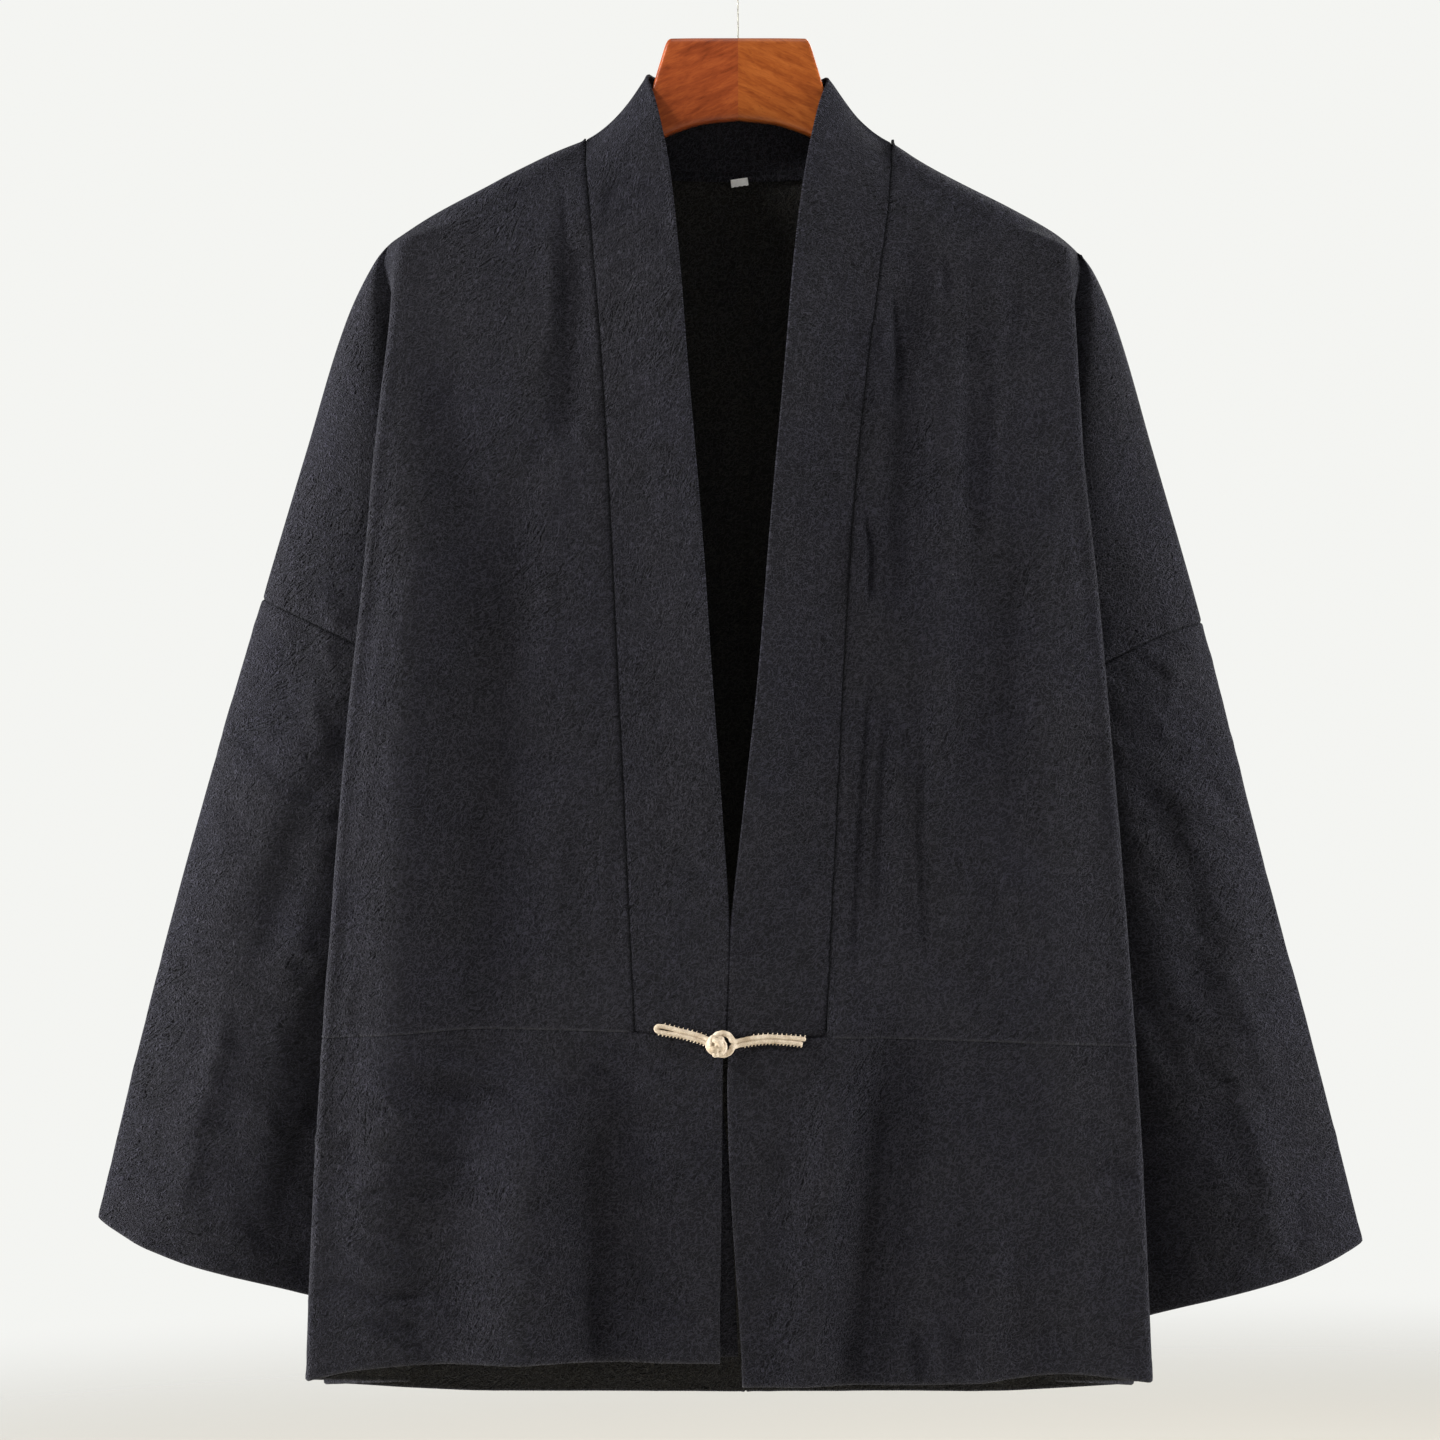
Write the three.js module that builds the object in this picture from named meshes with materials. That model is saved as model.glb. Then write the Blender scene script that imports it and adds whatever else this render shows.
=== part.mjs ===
// A tang suit jacket of thin crinkled cloth, hanging on a wooden hanger from a thin wire.
//
// Millimetres. X runs across the jacket, with the wearer's left at +X, Y runs from the front (-) to the
// back (+), and Z is up. The origin is the inside top of the wire's loop, where the hanger is hung up.
//
// Body and upper sleeve are cut in one, front and back, and joined over the shoulder, down the side and
// under the arm. A sleeve tube is sewn on at the upper arm, a lower front at the waist, and one doubled
// band runs up one front, round the neck and down the other. Each panel is a wall made from its outer
// surface, and "out" is a distance from the plane X = 0 towards the wearer's right or left.
import * as THREE from "three";
import { mergeVertices } from "three/addons/utils/BufferGeometryUtils.js";

// ---- Driving dimensions ----
const CLOTH = 1.6; // thickness of a single panel
const BAND = 2.0; // thickness of the doubled front band
const SEAM_GAP = 0.4; // between two pieces sewn together
const SLEEVE_GAP = 0.8; // at the slanted sleeve seam, measured down
const NECK_GAP = 0.5; // between the band and the back
const BACK_SEAM_X = 5; // the centre back seam
const ARMPIT_Z = -371;
const BACK_NECK_Z = -119.4;
const CORD = 3.2; // diameter of the frog's cord

// Points across a front or back: along its face, round the side fold and into the side gusset.
const FACE_STEPS = 8;
const FOLD_STEPS = 3;
const GUSSET_STEPS = 2;
const SLEEVE_STEPS = 8; // across half of a sleeve
const BAND_STEPS = 3; // across the band
const FRONT_STATIONS = 10; // rows of a side's band table that lie on the front; the rest lie round the neck

// Heights of the rows of a front or back above the armpit. The shoulder rows end at the hanger's tip.
const SHOULDER_Z = [-107, -113, -120, -128, -137, -147, -156];
const BACK_SHOULDER_Z = [-107, -111, -114.5, -117, -119, -120.2, -128, -137, -147, -156];
const UPPER_ROWS = 9; // from the hanger's tip to the armpit
const UNDERARM_ROWS = 3; // from the armpit to the sleeve seam
const SIDE_ROWS = 8; // from the armpit to the waist
const LOWER_ROWS = 6; // from the waist to the hem
const BACK_ROWS = 12; // from the armpit to the hem, at the back

// The wearer's right and left sides. crest is the outline of shoulder and sleeve at Y = 0. The front
// turns back into the side gusset at fold. valley is the crease between body and sleeve, from the tip
// of the hanger to the armpit, and gusset the side seam below it. sleeveSeam and cuff run from the
// underarm to the sleeve's outer edge at topZ, and sag by bow. band gives both edges of the band.
const SIDES = {
  right: {
    sign: -1,
    tipZ: -164,
    crest: [
      { z: -101, out: 92 },
      { z: -107, out: 107 },
      { z: -113, out: 120 },
      { z: -128, out: 149 },
      { z: -146, out: 183 },
      { z: -158, out: 202 },
      { z: -164, out: 210 },
      { z: -176, out: 219 },
      { z: -209, out: 235 },
      { z: -287, out: 259 },
      { z: -376, out: 285.5 },
      { z: -509, out: 324 },
      { z: -640, out: 358.5 },
      { z: -747, out: 384 },
    ],
    fold: [
      { z: -101, out: 90 },
      { z: -113, out: 112 },
      { z: -128, out: 137 },
      { z: -146, out: 170 },
      { z: -158, out: 193 },
      { z: -166, out: 204 },
      { z: -212, out: 207 },
      { z: -290, out: 215 },
      { z: -372, out: 222 },
      { z: -451, out: 230 },
      { z: -574, out: 240 },
      { z: -697, out: 248 },
      { z: -850, out: 254 },
    ],
    valley: [
      { z: -164, out: 210, depth: 0 },
      { z: -176, out: 211, depth: 12 },
      { z: -196, out: 206, depth: 20 },
      { z: -245, out: 190, depth: 22 },
      { z: -290, out: 176, depth: 20 },
      { z: -331, out: 163, depth: 12 },
      { z: -371, out: 150, depth: 0 },
    ],
    gusset: [
      { z: -371, out: 150 },
      { z: -451, out: 152 },
      { z: -574, out: 166 },
      { z: -697, out: 182 },
      { z: -860, out: 201 },
    ],
    sleeveSeam: { underOut: 158, underZ: -437, topZ: -376, bow: 0 },
    cuff: { underOut: 222, underZ: -803, topZ: -747, bow: 7 },
    waist: [
      { out: 8, z: -636 },
      { out: 34, z: -633.7 },
      { out: 61, z: -631.3 },
      { out: 147, z: -629.5 },
      { out: 205, z: -633 },
      { out: 244, z: -635 },
    ],
    frontHem: [
      { out: 8, z: -825 },
      { out: 170, z: -825 },
      { out: 224, z: -829 },
      { out: 252, z: -835 },
    ],
    frontEdge: [
      { z: -636, out: 9.6 },
      { z: -700, out: 10 },
      { z: -840, out: 11.5 },
    ],
    band: [
      { seamOut: 61, seamZ: -630.8, seamY: -58, edgeOut: 8, edgeZ: -635.5, edgeY: -60 },
      { seamOut: 64, seamZ: -574, seamY: -57, edgeOut: 6, edgeZ: -574, edgeY: -60 },
      { seamOut: 67, seamZ: -506, seamY: -56, edgeOut: 10, edgeZ: -506, edgeY: -60 },
      { seamOut: 71, seamZ: -425, seamY: -53, edgeOut: 16, edgeZ: -423, edgeY: -58 },
      { seamOut: 75, seamZ: -340, seamY: -49, edgeOut: 22, edgeZ: -336, edgeY: -54 },
      { seamOut: 80, seamZ: -250, seamY: -43, edgeOut: 30, edgeZ: -243, edgeY: -47 },
      { seamOut: 85, seamZ: -185, seamY: -36, edgeOut: 36, edgeZ: -170, edgeY: -38 },
      { seamOut: 89, seamZ: -140, seamY: -27, edgeOut: 43, edgeZ: -112, edgeY: -25 },
      { seamOut: 91.5, seamZ: -114, seamY: -14, edgeOut: 50, edgeZ: -80, edgeY: -14.5 },
      { seamOut: 92, seamZ: -101, seamY: 0, edgeOut: 55, edgeZ: -62, edgeY: 0 },
      { seamOut: 86, seamZ: -107, seamY: 11, edgeOut: 50, edgeZ: -62, edgeY: 13 },
      { seamOut: 66, seamZ: -114, seamY: 19, edgeOut: 38, edgeZ: -61, edgeY: 20 },
      { seamOut: 34, seamZ: -118.5, seamY: 22, edgeOut: 20, edgeZ: -60.5, edgeY: 24 },
    ],
  },
  left: {
    sign: 1,
    tipZ: -168,
    crest: [
      { z: -103, out: 93 },
      { z: -107, out: 99 },
      { z: -113, out: 108 },
      { z: -128, out: 136 },
      { z: -146, out: 171 },
      { z: -158, out: 192 },
      { z: -168, out: 203.5 },
      { z: -180, out: 213 },
      { z: -209, out: 226 },
      { z: -287, out: 249 },
      { z: -390, out: 278.5 },
      { z: -509, out: 309 },
      { z: -640, out: 344 },
      { z: -761, out: 375 },
    ],
    fold: [
      { z: -103, out: 92 },
      { z: -113, out: 101 },
      { z: -128, out: 124 },
      { z: -146, out: 159 },
      { z: -160, out: 186 },
      { z: -170, out: 198 },
      { z: -212, out: 200 },
      { z: -290, out: 204 },
      { z: -372, out: 212 },
      { z: -451, out: 219 },
      { z: -574, out: 229 },
      { z: -697, out: 237 },
      { z: -850, out: 243 },
    ],
    valley: [
      { z: -168, out: 203.5, depth: 0 },
      { z: -180, out: 205, depth: 12 },
      { z: -200, out: 200, depth: 20 },
      { z: -245, out: 185, depth: 22 },
      { z: -290, out: 171, depth: 20 },
      { z: -331, out: 159, depth: 12 },
      { z: -371, out: 147, depth: 0 },
    ],
    gusset: [
      { z: -371, out: 147 },
      { z: -451, out: 149 },
      { z: -574, out: 161 },
      { z: -697, out: 176 },
      { z: -860, out: 194 },
    ],
    sleeveSeam: { underOut: 155, underZ: -447, topZ: -390, bow: -4 },
    cuff: { underOut: 214, underZ: -814, topZ: -761, bow: 5.5 },
    waist: [
      { out: -6, z: -636 },
      { out: 23, z: -635.3 },
      { out: 52, z: -634.6 },
      { out: 150, z: -637 },
      { out: 233, z: -640 },
    ],
    frontHem: [
      { out: 0, z: -839 },
      { out: 130, z: -837 },
      { out: 190, z: -831 },
      { out: 241, z: -836 },
    ],
    frontEdge: [
      { z: -636, out: -5 },
      { z: -665, out: -6 },
      { z: -840, out: 3 },
    ],
    band: [
      { seamOut: 52, seamZ: -634.1, seamY: -58, edgeOut: -6, edgeZ: -635.5, edgeY: -60 },
      { seamOut: 54.5, seamZ: -574, seamY: -57, edgeOut: -4, edgeZ: -574, edgeY: -60 },
      { seamOut: 58, seamZ: -506, seamY: -56, edgeOut: 3, edgeZ: -506, edgeY: -60 },
      { seamOut: 62, seamZ: -425, seamY: -53, edgeOut: 12, edgeZ: -423, edgeY: -58 },
      { seamOut: 67, seamZ: -340, seamY: -49, edgeOut: 19, edgeZ: -336, edgeY: -54 },
      { seamOut: 75.5, seamZ: -250, seamY: -43, edgeOut: 27.5, edgeZ: -243, edgeY: -47 },
      { seamOut: 84, seamZ: -185, seamY: -36, edgeOut: 34, edgeZ: -170, edgeY: -38 },
      { seamOut: 90, seamZ: -140, seamY: -27, edgeOut: 42, edgeZ: -113, edgeY: -25 },
      { seamOut: 92, seamZ: -117, seamY: -14, edgeOut: 49, edgeZ: -82, edgeY: -14.5 },
      { seamOut: 93, seamZ: -103, seamY: 0, edgeOut: 54.5, edgeZ: -64, edgeY: 0 },
      { seamOut: 87, seamZ: -108.5, seamY: 11, edgeOut: 50, edgeZ: -63, edgeY: 13 },
      { seamOut: 66, seamZ: -115, seamY: 19, edgeOut: 38, edgeZ: -61.5, edgeY: 20 },
      { seamOut: 34, seamZ: -118.5, seamY: 22, edgeOut: 20, edgeZ: -60.5, edgeY: 24 },
    ],
  },
};
const BAND_CENTRE = { seamOut: 0, seamZ: BACK_NECK_Z, seamY: 22.5, edgeOut: 0, edgeZ: -60, edgeY: 25 };
const BACK_HEM = [
  { out: 0, z: -861 },
  { out: 150, z: -860 },
  { out: 250, z: -855 },
];
const SIDE_WAIST_Z = -637; // the waist seam and the hems where they meet the side seam
const SIDE_HEM_Z = -845;

// How far the cloth stands from Y = 0, by height: at the side folds, front and back, and at the centre
// back. round is the radius of the side fold, wide where the cloth lies over the hanger.
const DEPTHS = [
  { z: -101, front: 1, back: 1, centreBack: 20, round: 3 },
  { z: -113, front: 13, back: 12, centreBack: 22, round: 8 },
  { z: -128, front: 19, back: 17, centreBack: 25, round: 12 },
  { z: -146, front: 22, back: 20, centreBack: 29, round: 13 },
  { z: -164, front: 24, back: 23, centreBack: 32, round: 8 },
  { z: -188, front: 28, back: 27, centreBack: 35, round: 5 },
  { z: -248, front: 38, back: 35, centreBack: 40, round: 4 },
  { z: -372, front: 48, back: 44, centreBack: 47, round: 4 },
  { z: -507, front: 52, back: 48, centreBack: 52, round: 4 },
  { z: -640, front: 54, back: 51, centreBack: 56, round: 4 },
  { z: -860, front: 60, back: 57, centreBack: 62, round: 4 },
];

// Soft folds: a ridge (height > 0) or trough (height < 0) along a line between two points of a panel,
// fading out at both ends. width is its half width and rise the height of the fade at each end.
const FOLDS = [
  { side: "right", face: "front", topOut: 188, topZ: -230, endOut: 212, endZ: -880, width: 22, height: 5 },
  { side: "right", face: "front", topOut: 132, topZ: -260, endOut: 150, endZ: -700, width: 24, height: -6 },
  { side: "right", face: "front", topOut: 98, topZ: -150, endOut: 102, endZ: -300, width: 9, height: -3 },
  { side: "right", face: "front", topOut: 118, topZ: -650, endOut: 122, endZ: -900, width: 20, height: 6 },
  { side: "right", face: "front", topOut: 72, topZ: -640, endOut: 66, endZ: -900, width: 17, height: -6 },
  { side: "left", face: "front", topOut: 104, topZ: -140, endOut: 92, endZ: -420, width: 8, height: -3 },
  { side: "left", face: "front", topOut: 132, topZ: -180, endOut: 112, endZ: -560, width: 11, height: 3 },
  { side: "left", face: "front", topOut: 176, topZ: -260, endOut: 186, endZ: -760, width: 24, height: 4 },
  { side: "left", face: "front", topOut: 66, topZ: -600, endOut: 34, endZ: -900, width: 16, height: 6 },
  { side: "left", face: "front", topOut: 94, topZ: -600, endOut: 66, endZ: -900, width: 16, height: -6 },
  { side: "left", face: "front", topOut: 150, topZ: -720, endOut: 146, endZ: -900, width: 11, height: 3 },
  { side: "right", face: "back", topOut: 70, topZ: -200, endOut: 96, endZ: -900, width: 22, height: 6 },
  { side: "right", face: "back", topOut: 140, topZ: -260, endOut: 160, endZ: -820, width: 24, height: -6 },
  { side: "left", face: "back", topOut: 84, topZ: -190, endOut: 104, endZ: -900, width: 22, height: 5 },
  { side: "left", face: "back", topOut: 150, topZ: -280, endOut: 150, endZ: -900, width: 22, height: -6 },
];
const FOLD_FADE = 0.3; // share of a fold's length over which it fades in and out

// Half thickness of the upper sleeve and the sleeve by the height of its inner edge.
const SLEEVE_HALF = [
  { z: -164, half: 1, edge: 0 },
  { z: -176, half: 12, edge: 0 },
  { z: -196, half: 20, edge: 0 },
  { z: -245, half: 22, edge: 0 },
  { z: -331, half: 22, edge: 1 },
  { z: -371, half: 22, edge: 3 },
  { z: -437, half: 23, edge: 3.5 },
  { z: -600, half: 21, edge: 4 },
  { z: -815, half: 16, edge: 4 },
];
const SLEEVE_PEAK = 0.48; // where a sleeve is thickest, as a share of its width from the underarm
const SLEEVE_ROWS = 10;

// The frog: a knot on the wearer's right and a loop on the left, each with two sewn strands. rise is
// from the cloth to the middle of the knot's ball.
const KNOT = { x: -12.3, z: -638.6, radius: 6.4, stem: 1.2, rise: 10.2 };
const LOOP = { x: -9.4, z: -637.6, radius: 6.6 };
const KNOT_TAIL = [
  { x: -47.2, z: -629.4 },
  { x: -34, z: -632 },
  { x: -20.6, z: -635.6 },
];
const LOOP_TAIL = [
  { x: -1.2, z: -638 },
  { x: 8, z: -636.2 },
  { x: 17, z: -635.4 },
  { x: 29, z: -636 },
  { x: 39.4, z: -637 },
];
const KNOT_TAIL_BEND = 2; // how far the tail's end bend reaches past its strands
const FROG_LIFT = 1; // between the cord and the cloth under it

// The facing behind the right lower front, which shows in the slit below the frog.
const FACING = [
  { z: -644, edgeX: -13, y: -55.4 },
  { z: -712, edgeX: -6, y: -55 },
  { z: -822, edgeX: -0.5, y: -53.5 },
];
const FACING_WIDTH = 30;
const FACING_THICK = 1.0;

// Size tab on the inside of the back neck: its centre, half width, height and tilt in degrees.
const TAB = { x: 1, z: -123.6, y: 19.2, width: 10.5, height: 5.6, thick: 1, tilt: 8 };

// Each half of the hanger, by distance from the middle: top, bottom and half thickness.
const HANGER = [
  { out: 0.15, top: -40.2, bottom: -89, half: 7 },
  { out: 20, top: -40.2, bottom: -91.2, half: 7 },
  { out: 40, top: -40.4, bottom: -97.4, half: 7 },
  { out: 42, top: -41.5, bottom: -98.4, half: 7 },
  { out: 46.5, top: -54, bottom: -100.6, half: 7 },
  { out: 51, top: -69, bottom: -103, half: 7 },
  { out: 56, top: -84, bottom: -106.5, half: 7 },
  { out: 64, top: -97, bottom: -112, half: 7.5 },
  { out: 80, top: -109.5, bottom: -123, half: 8.5 },
  { out: 104, top: -123, bottom: -139, half: 10 },
  { out: 134, top: -138, bottom: -160, half: 12 },
  { out: 160, top: -151.5, bottom: -175, half: 13 },
  { out: 178, top: -162.5, bottom: -185, half: 12 },
  { out: 187, top: -170, bottom: -186, half: 9 },
  { out: 190, top: -175, bottom: -183, half: 5 },
];
const HANGER_TOP = -40.2;
const HANGER_RING = 12;
const HANGER_SQUARE = 5; // exponent of the section: 2 is an ellipse, more is squarer

// The wire and its loop, whose inside top is the origin.
const WIRE = 0.8;
const WIRE_LOOP_RADIUS = 4.4;

// ---- Small helpers ----
const lerp = (a, b, t) => a + (b - a) * t;
const smooth = (t) => t * t * (3 - 2 * t);
const clamp01 = (t) => Math.min(1, Math.max(0, t));
const steps = (from, to, count) => Array.from({ length: count }, (_, i) => lerp(from, to, (i + 1) / count));

// Reads a table as a smooth curve: the column of rows at a value of key, with no overshoot.
function read(rows, column, value, key = "z") {
  const rising = rows[rows.length - 1][key] > rows[0][key] ? 1 : -1;
  let i = 0;
  while (i < rows.length - 2 && (value - rows[i + 1][key]) * rising > 0) i++;
  const slope = (k) => (rows[k + 1][column] - rows[k][column]) / (rows[k + 1][key] - rows[k][key]);
  const tangent = (k) => {
    if (k === 0) return slope(0);
    if (k === rows.length - 1) return slope(k - 1);
    const a = slope(k - 1);
    const b = slope(k);
    return a * b <= 0 ? 0 : (2 * a * b) / (a + b);
  };
  const [a, b] = [rows[i], rows[i + 1]];
  const step = b[key] - a[key];
  const t = clamp01((value - a[key]) / step);
  const [t2, t3] = [t * t, t * t * t];
  return (
    (2 * t3 - 3 * t2 + 1) * a[column] +
    (t3 - 2 * t2 + t) * step * tangent(i) +
    (3 * t2 - 2 * t3) * b[column] +
    (t3 - t2) * step * tangent(i + 1)
  );
}

// A wall from an outer surface: blocks are grids of points, rows first, welded where they meet. The
// wall's inner side lies thickness inside it, along normals that stay in the seam planes Y = 0 and
// X = BACK_SEAM_X, so that sewn pieces don't cross.
function wall(blocks, thickness, flip, fixedNormals = []) {
  const positions = [];
  const faces = [];
  for (const rows of blocks) {
    const start = positions.length / 3;
    const width = rows[0].length;
    for (const row of rows) for (const p of row) positions.push(p.x, p.y, p.z);
    for (let i = 0; i + 1 < rows.length; i++)
      for (let j = 0; j + 1 < width; j++) {
        const a = start + i * width + j;
        const [b, c, d] = [a + width, a + 1, a + width + 1];
        if ((i + j) % 2) faces.push([a, b, c], [c, b, d]);
        else faces.push([a, b, d], [a, d, c]);
      }
  }
  const raw = new THREE.BufferGeometry();
  raw.setAttribute("position", new THREE.Float32BufferAttribute(positions, 3));
  raw.setIndex(faces.flatMap((f) => (flip ? [f[0], f[2], f[1]] : f)));
  const welded = mergeVertices(raw, 1e-3);
  const index = Array.from(welded.index.array);
  const place = welded.attributes.position;
  const pointAt = (_, i) => new THREE.Vector3().fromBufferAttribute(place, i);
  const points = Array.from({ length: place.count }, pointAt);
  const triangles = [];
  for (let i = 0; i < index.length; i += 3) {
    const [a, b, c] = index.slice(i, i + 3);
    if (a !== b && b !== c && a !== c) triangles.push([a, b, c]);
  }
  const normals = points.map(() => new THREE.Vector3());
  const edges = new Map();
  for (const t of triangles) {
    const [a, b, c] = t.map((v) => points[v]);
    const normal = b.clone().sub(a).cross(c.clone().sub(a)).normalize();
    t.forEach((v, k) => {
      normals[v].add(normal);
      const next = t[(k + 1) % 3];
      edges.set(`${v},${next}`, !edges.has(`${next},${v}`));
      if (edges.has(`${next},${v}`)) edges.set(`${next},${v}`, false);
    });
  }
  const inner = points.map((p, i) => {
    const n = normals[i];
    if (Math.abs(p.y) < SEAM_GAP) n.y = 0;
    if (Math.abs(p.x - BACK_SEAM_X) < SEAM_GAP && p.y > 0) n.x = 0;
    for (const fixed of fixedNormals) if (fixed.at.distanceTo(p) < SEAM_GAP) n.copy(fixed.normal);
    return p.clone().addScaledVector(n.normalize(), -thickness);
  });
  const count = points.length;
  const closed = triangles.flatMap(([a, b, c]) => [a, b, c, a + count, c + count, b + count]);
  for (const [key, open] of edges) {
    if (!open) continue;
    const [a, b] = key.split(",").map(Number);
    closed.push(b, a, a + count, b, a + count, b + count);
  }
  const geometry = new THREE.BufferGeometry();
  const all = [...points, ...inner].flatMap((p) => [p.x, p.y, p.z]);
  geometry.setAttribute("position", new THREE.Float32BufferAttribute(all, 3));
  geometry.setIndex(closed);
  return geometry;
}

// ---- The shape of the cloth ----

// Height of the folds of a panel above its plain face.
function foldHeight(sideName, face, out, z) {
  let height = 0;
  for (const f of FOLDS) {
    if (f.side !== sideName || f.face !== face) continue;
    const t = (z - f.topZ) / (f.endZ - f.topZ);
    if (t <= 0 || t >= 1) continue;
    const fade = smooth(clamp01(t / FOLD_FADE)) * smooth(clamp01((1 - t) / FOLD_FADE));
    const across = (out - lerp(f.topOut, f.endOut, t)) / f.width;
    height += f.height * fade * Math.exp(-across * across);
  }
  return height;
}

// An edge of the band at a height, as out and y: its seam or its free edge, on a front or at the neck.
function bandLine(side, line, z, neck = false) {
  const front = side.band.slice(0, FRONT_STATIONS);
  const rows = neck ? [...side.band.slice(FRONT_STATIONS - 1), BAND_CENTRE] : front;
  return { out: read(rows, `${line}Out`, z, `${line}Z`), y: read(rows, `${line}Y`, z, `${line}Z`) };
}

// How far a front stands from Y = 0 at a point of its face.
function frontDepth(sideName, out, z) {
  const side = SIDES[sideName];
  const seam = bandLine(side, "seam", z);
  const foldOut = read(side.fold, "out", z);
  const foldDepth = read(DEPTHS, "front", z);
  if (out < seam.out) {
    const edge = bandLine(side, "edge", z);
    return lerp(-seam.y, -edge.y, (seam.out - out) / (seam.out - edge.out));
  }
  const t = clamp01((out - seam.out) / Math.max(1, foldOut - seam.out));
  return lerp(-seam.y, foldDepth, smooth(t));
}

// The same for a back, whose inner edge is at inner.
function backDepth(sideName, out, z, inner) {
  const foldOut = read(SIDES[sideName].fold, "out", z);
  const t = clamp01((out - inner.out) / Math.max(1, foldOut - inner.out));
  return lerp(inner.depth, read(DEPTHS, "back", z), smooth(t));
}

// One row of a front or back: from its inner edge along the face, round the side fold and along the
// gusset to its outer edge. heightAt gives the height at a point, where turned is 0 up to the side fold
// and 1 at the outer edge.
function bodyRow(sideName, face, z, inner, heightAt) {
  const side = SIDES[sideName];
  const towards = face === "front" ? -1 : 1;
  const aboveTip = z >= side.tipZ;
  const belowArmpit = z < ARMPIT_Z;
  const foldOut = read(side.fold, "out", z);
  const depth = read(DEPTHS, face, z);
  const last = aboveTip
    ? { out: read(side.crest, "out", z), depth: 0 }
    : belowArmpit
      ? { out: read(side.gusset, "out", z), depth: 0 }
      : { out: read(side.valley, "out", z), depth: read(side.valley, "depth", z) };
  last.depth = Math.max(last.depth, SEAM_GAP / 2);
  const room = Math.min(depth * 0.8, (foldOut - inner.out) * 0.6);
  let round = Math.min(read(DEPTHS, "round", z), room);
  const middle = () => ({ out: foldOut - round, depth: depth - round });
  const reach = Math.hypot(last.out - middle().out, last.depth - middle().depth);
  if (reach < round * 1.05) round = reach * 0.7;
  const centre = middle();
  const faceDepth = (out) => {
    const height = foldHeight(sideName, face, out, z) * smooth(clamp01((foldOut - round - out) / 12));
    const plain = face === "front" ? frontDepth(sideName, out, z) : backDepth(sideName, out, z, inner);
    return plain + height;
  };
  // The face ends where the fold starts, at the fold's own depth.
  const startOut = centre.out;
  const mismatch = depth - faceDepth(startOut);
  const points = [];
  const add = (out, d, turned) =>
    points.push(new THREE.Vector3(side.sign * out, towards * d, heightAt(Math.min(out, foldOut), turned)));
  for (let i = 0; i <= FACE_STEPS; i++) {
    const t = i / FACE_STEPS;
    const out = lerp(inner.out, startOut, t);
    add(out, faceDepth(out) + mismatch * smooth(t), 0);
  }
  // Round the fold, in the plane of out and depth, to the tangent that runs to the last point.
  const distance = Math.hypot(last.out - centre.out, last.depth - centre.depth);
  const towardsLast = Math.atan2(last.depth - centre.depth, last.out - centre.out);
  const endAngle = towardsLast + Math.acos(Math.min(1, round / distance));
  for (let i = 1; i <= FOLD_STEPS; i++) {
    const angle = lerp(Math.PI / 2, endAngle, i / FOLD_STEPS);
    add(centre.out + round * Math.cos(angle), centre.depth + round * Math.sin(angle), 0);
  }
  const tangent = {
    out: centre.out + round * Math.cos(endAngle),
    depth: centre.depth + round * Math.sin(endAngle),
  };
  for (let i = 1; i <= GUSSET_STEPS; i++) {
    const t = i / GUSSET_STEPS;
    add(lerp(tangent.out, last.out, t), lerp(tangent.depth, last.depth, t), t);
  }
  return points;
}

// Half thickness of a sleeve at a share u of its width, from its inner edge, which may be open by
// depth, to its outer edge.
function sleeveDepth(u, inZ, width, depth) {
  const half = Math.max(read(SLEEVE_HALF, "half", inZ), depth);
  if (u > SLEEVE_PEAK) return half * Math.sqrt(Math.max(0, 1 - ((u - SLEEVE_PEAK) / (1 - SLEEVE_PEAK)) ** 2));
  const edge = Math.max(0.01, read(SLEEVE_HALF, "edge", inZ));
  const rounded = edge * Math.sqrt(1 - (1 - clamp01((u * width) / edge)) ** 2);
  return depth + rounded + (half - depth - edge) * smooth(u / SLEEVE_PEAK);
}

// The points across half a sleeve, from its inner to its outer edge, sagging by bow.
function sleeveRow(side, face, inner, outer, bow) {
  const towards = face === "front" ? -1 : 1;
  const width = Math.hypot(outer.out - inner.out, outer.z - inner.z);
  const row = [];
  for (let i = 0; i <= SLEEVE_STEPS; i++) {
    const u = (1 - Math.cos((Math.PI * i) / SLEEVE_STEPS)) / 2;
    const depth = Math.max(sleeveDepth(u, inner.z, width, inner.depth), SEAM_GAP / 2);
    const z = lerp(inner.z, outer.z, u) - bow * Math.sin(Math.PI * u * u);
    row.push(new THREE.Vector3(side.sign * lerp(inner.out, outer.out, u), towards * depth, z));
  }
  return row;
}

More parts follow.
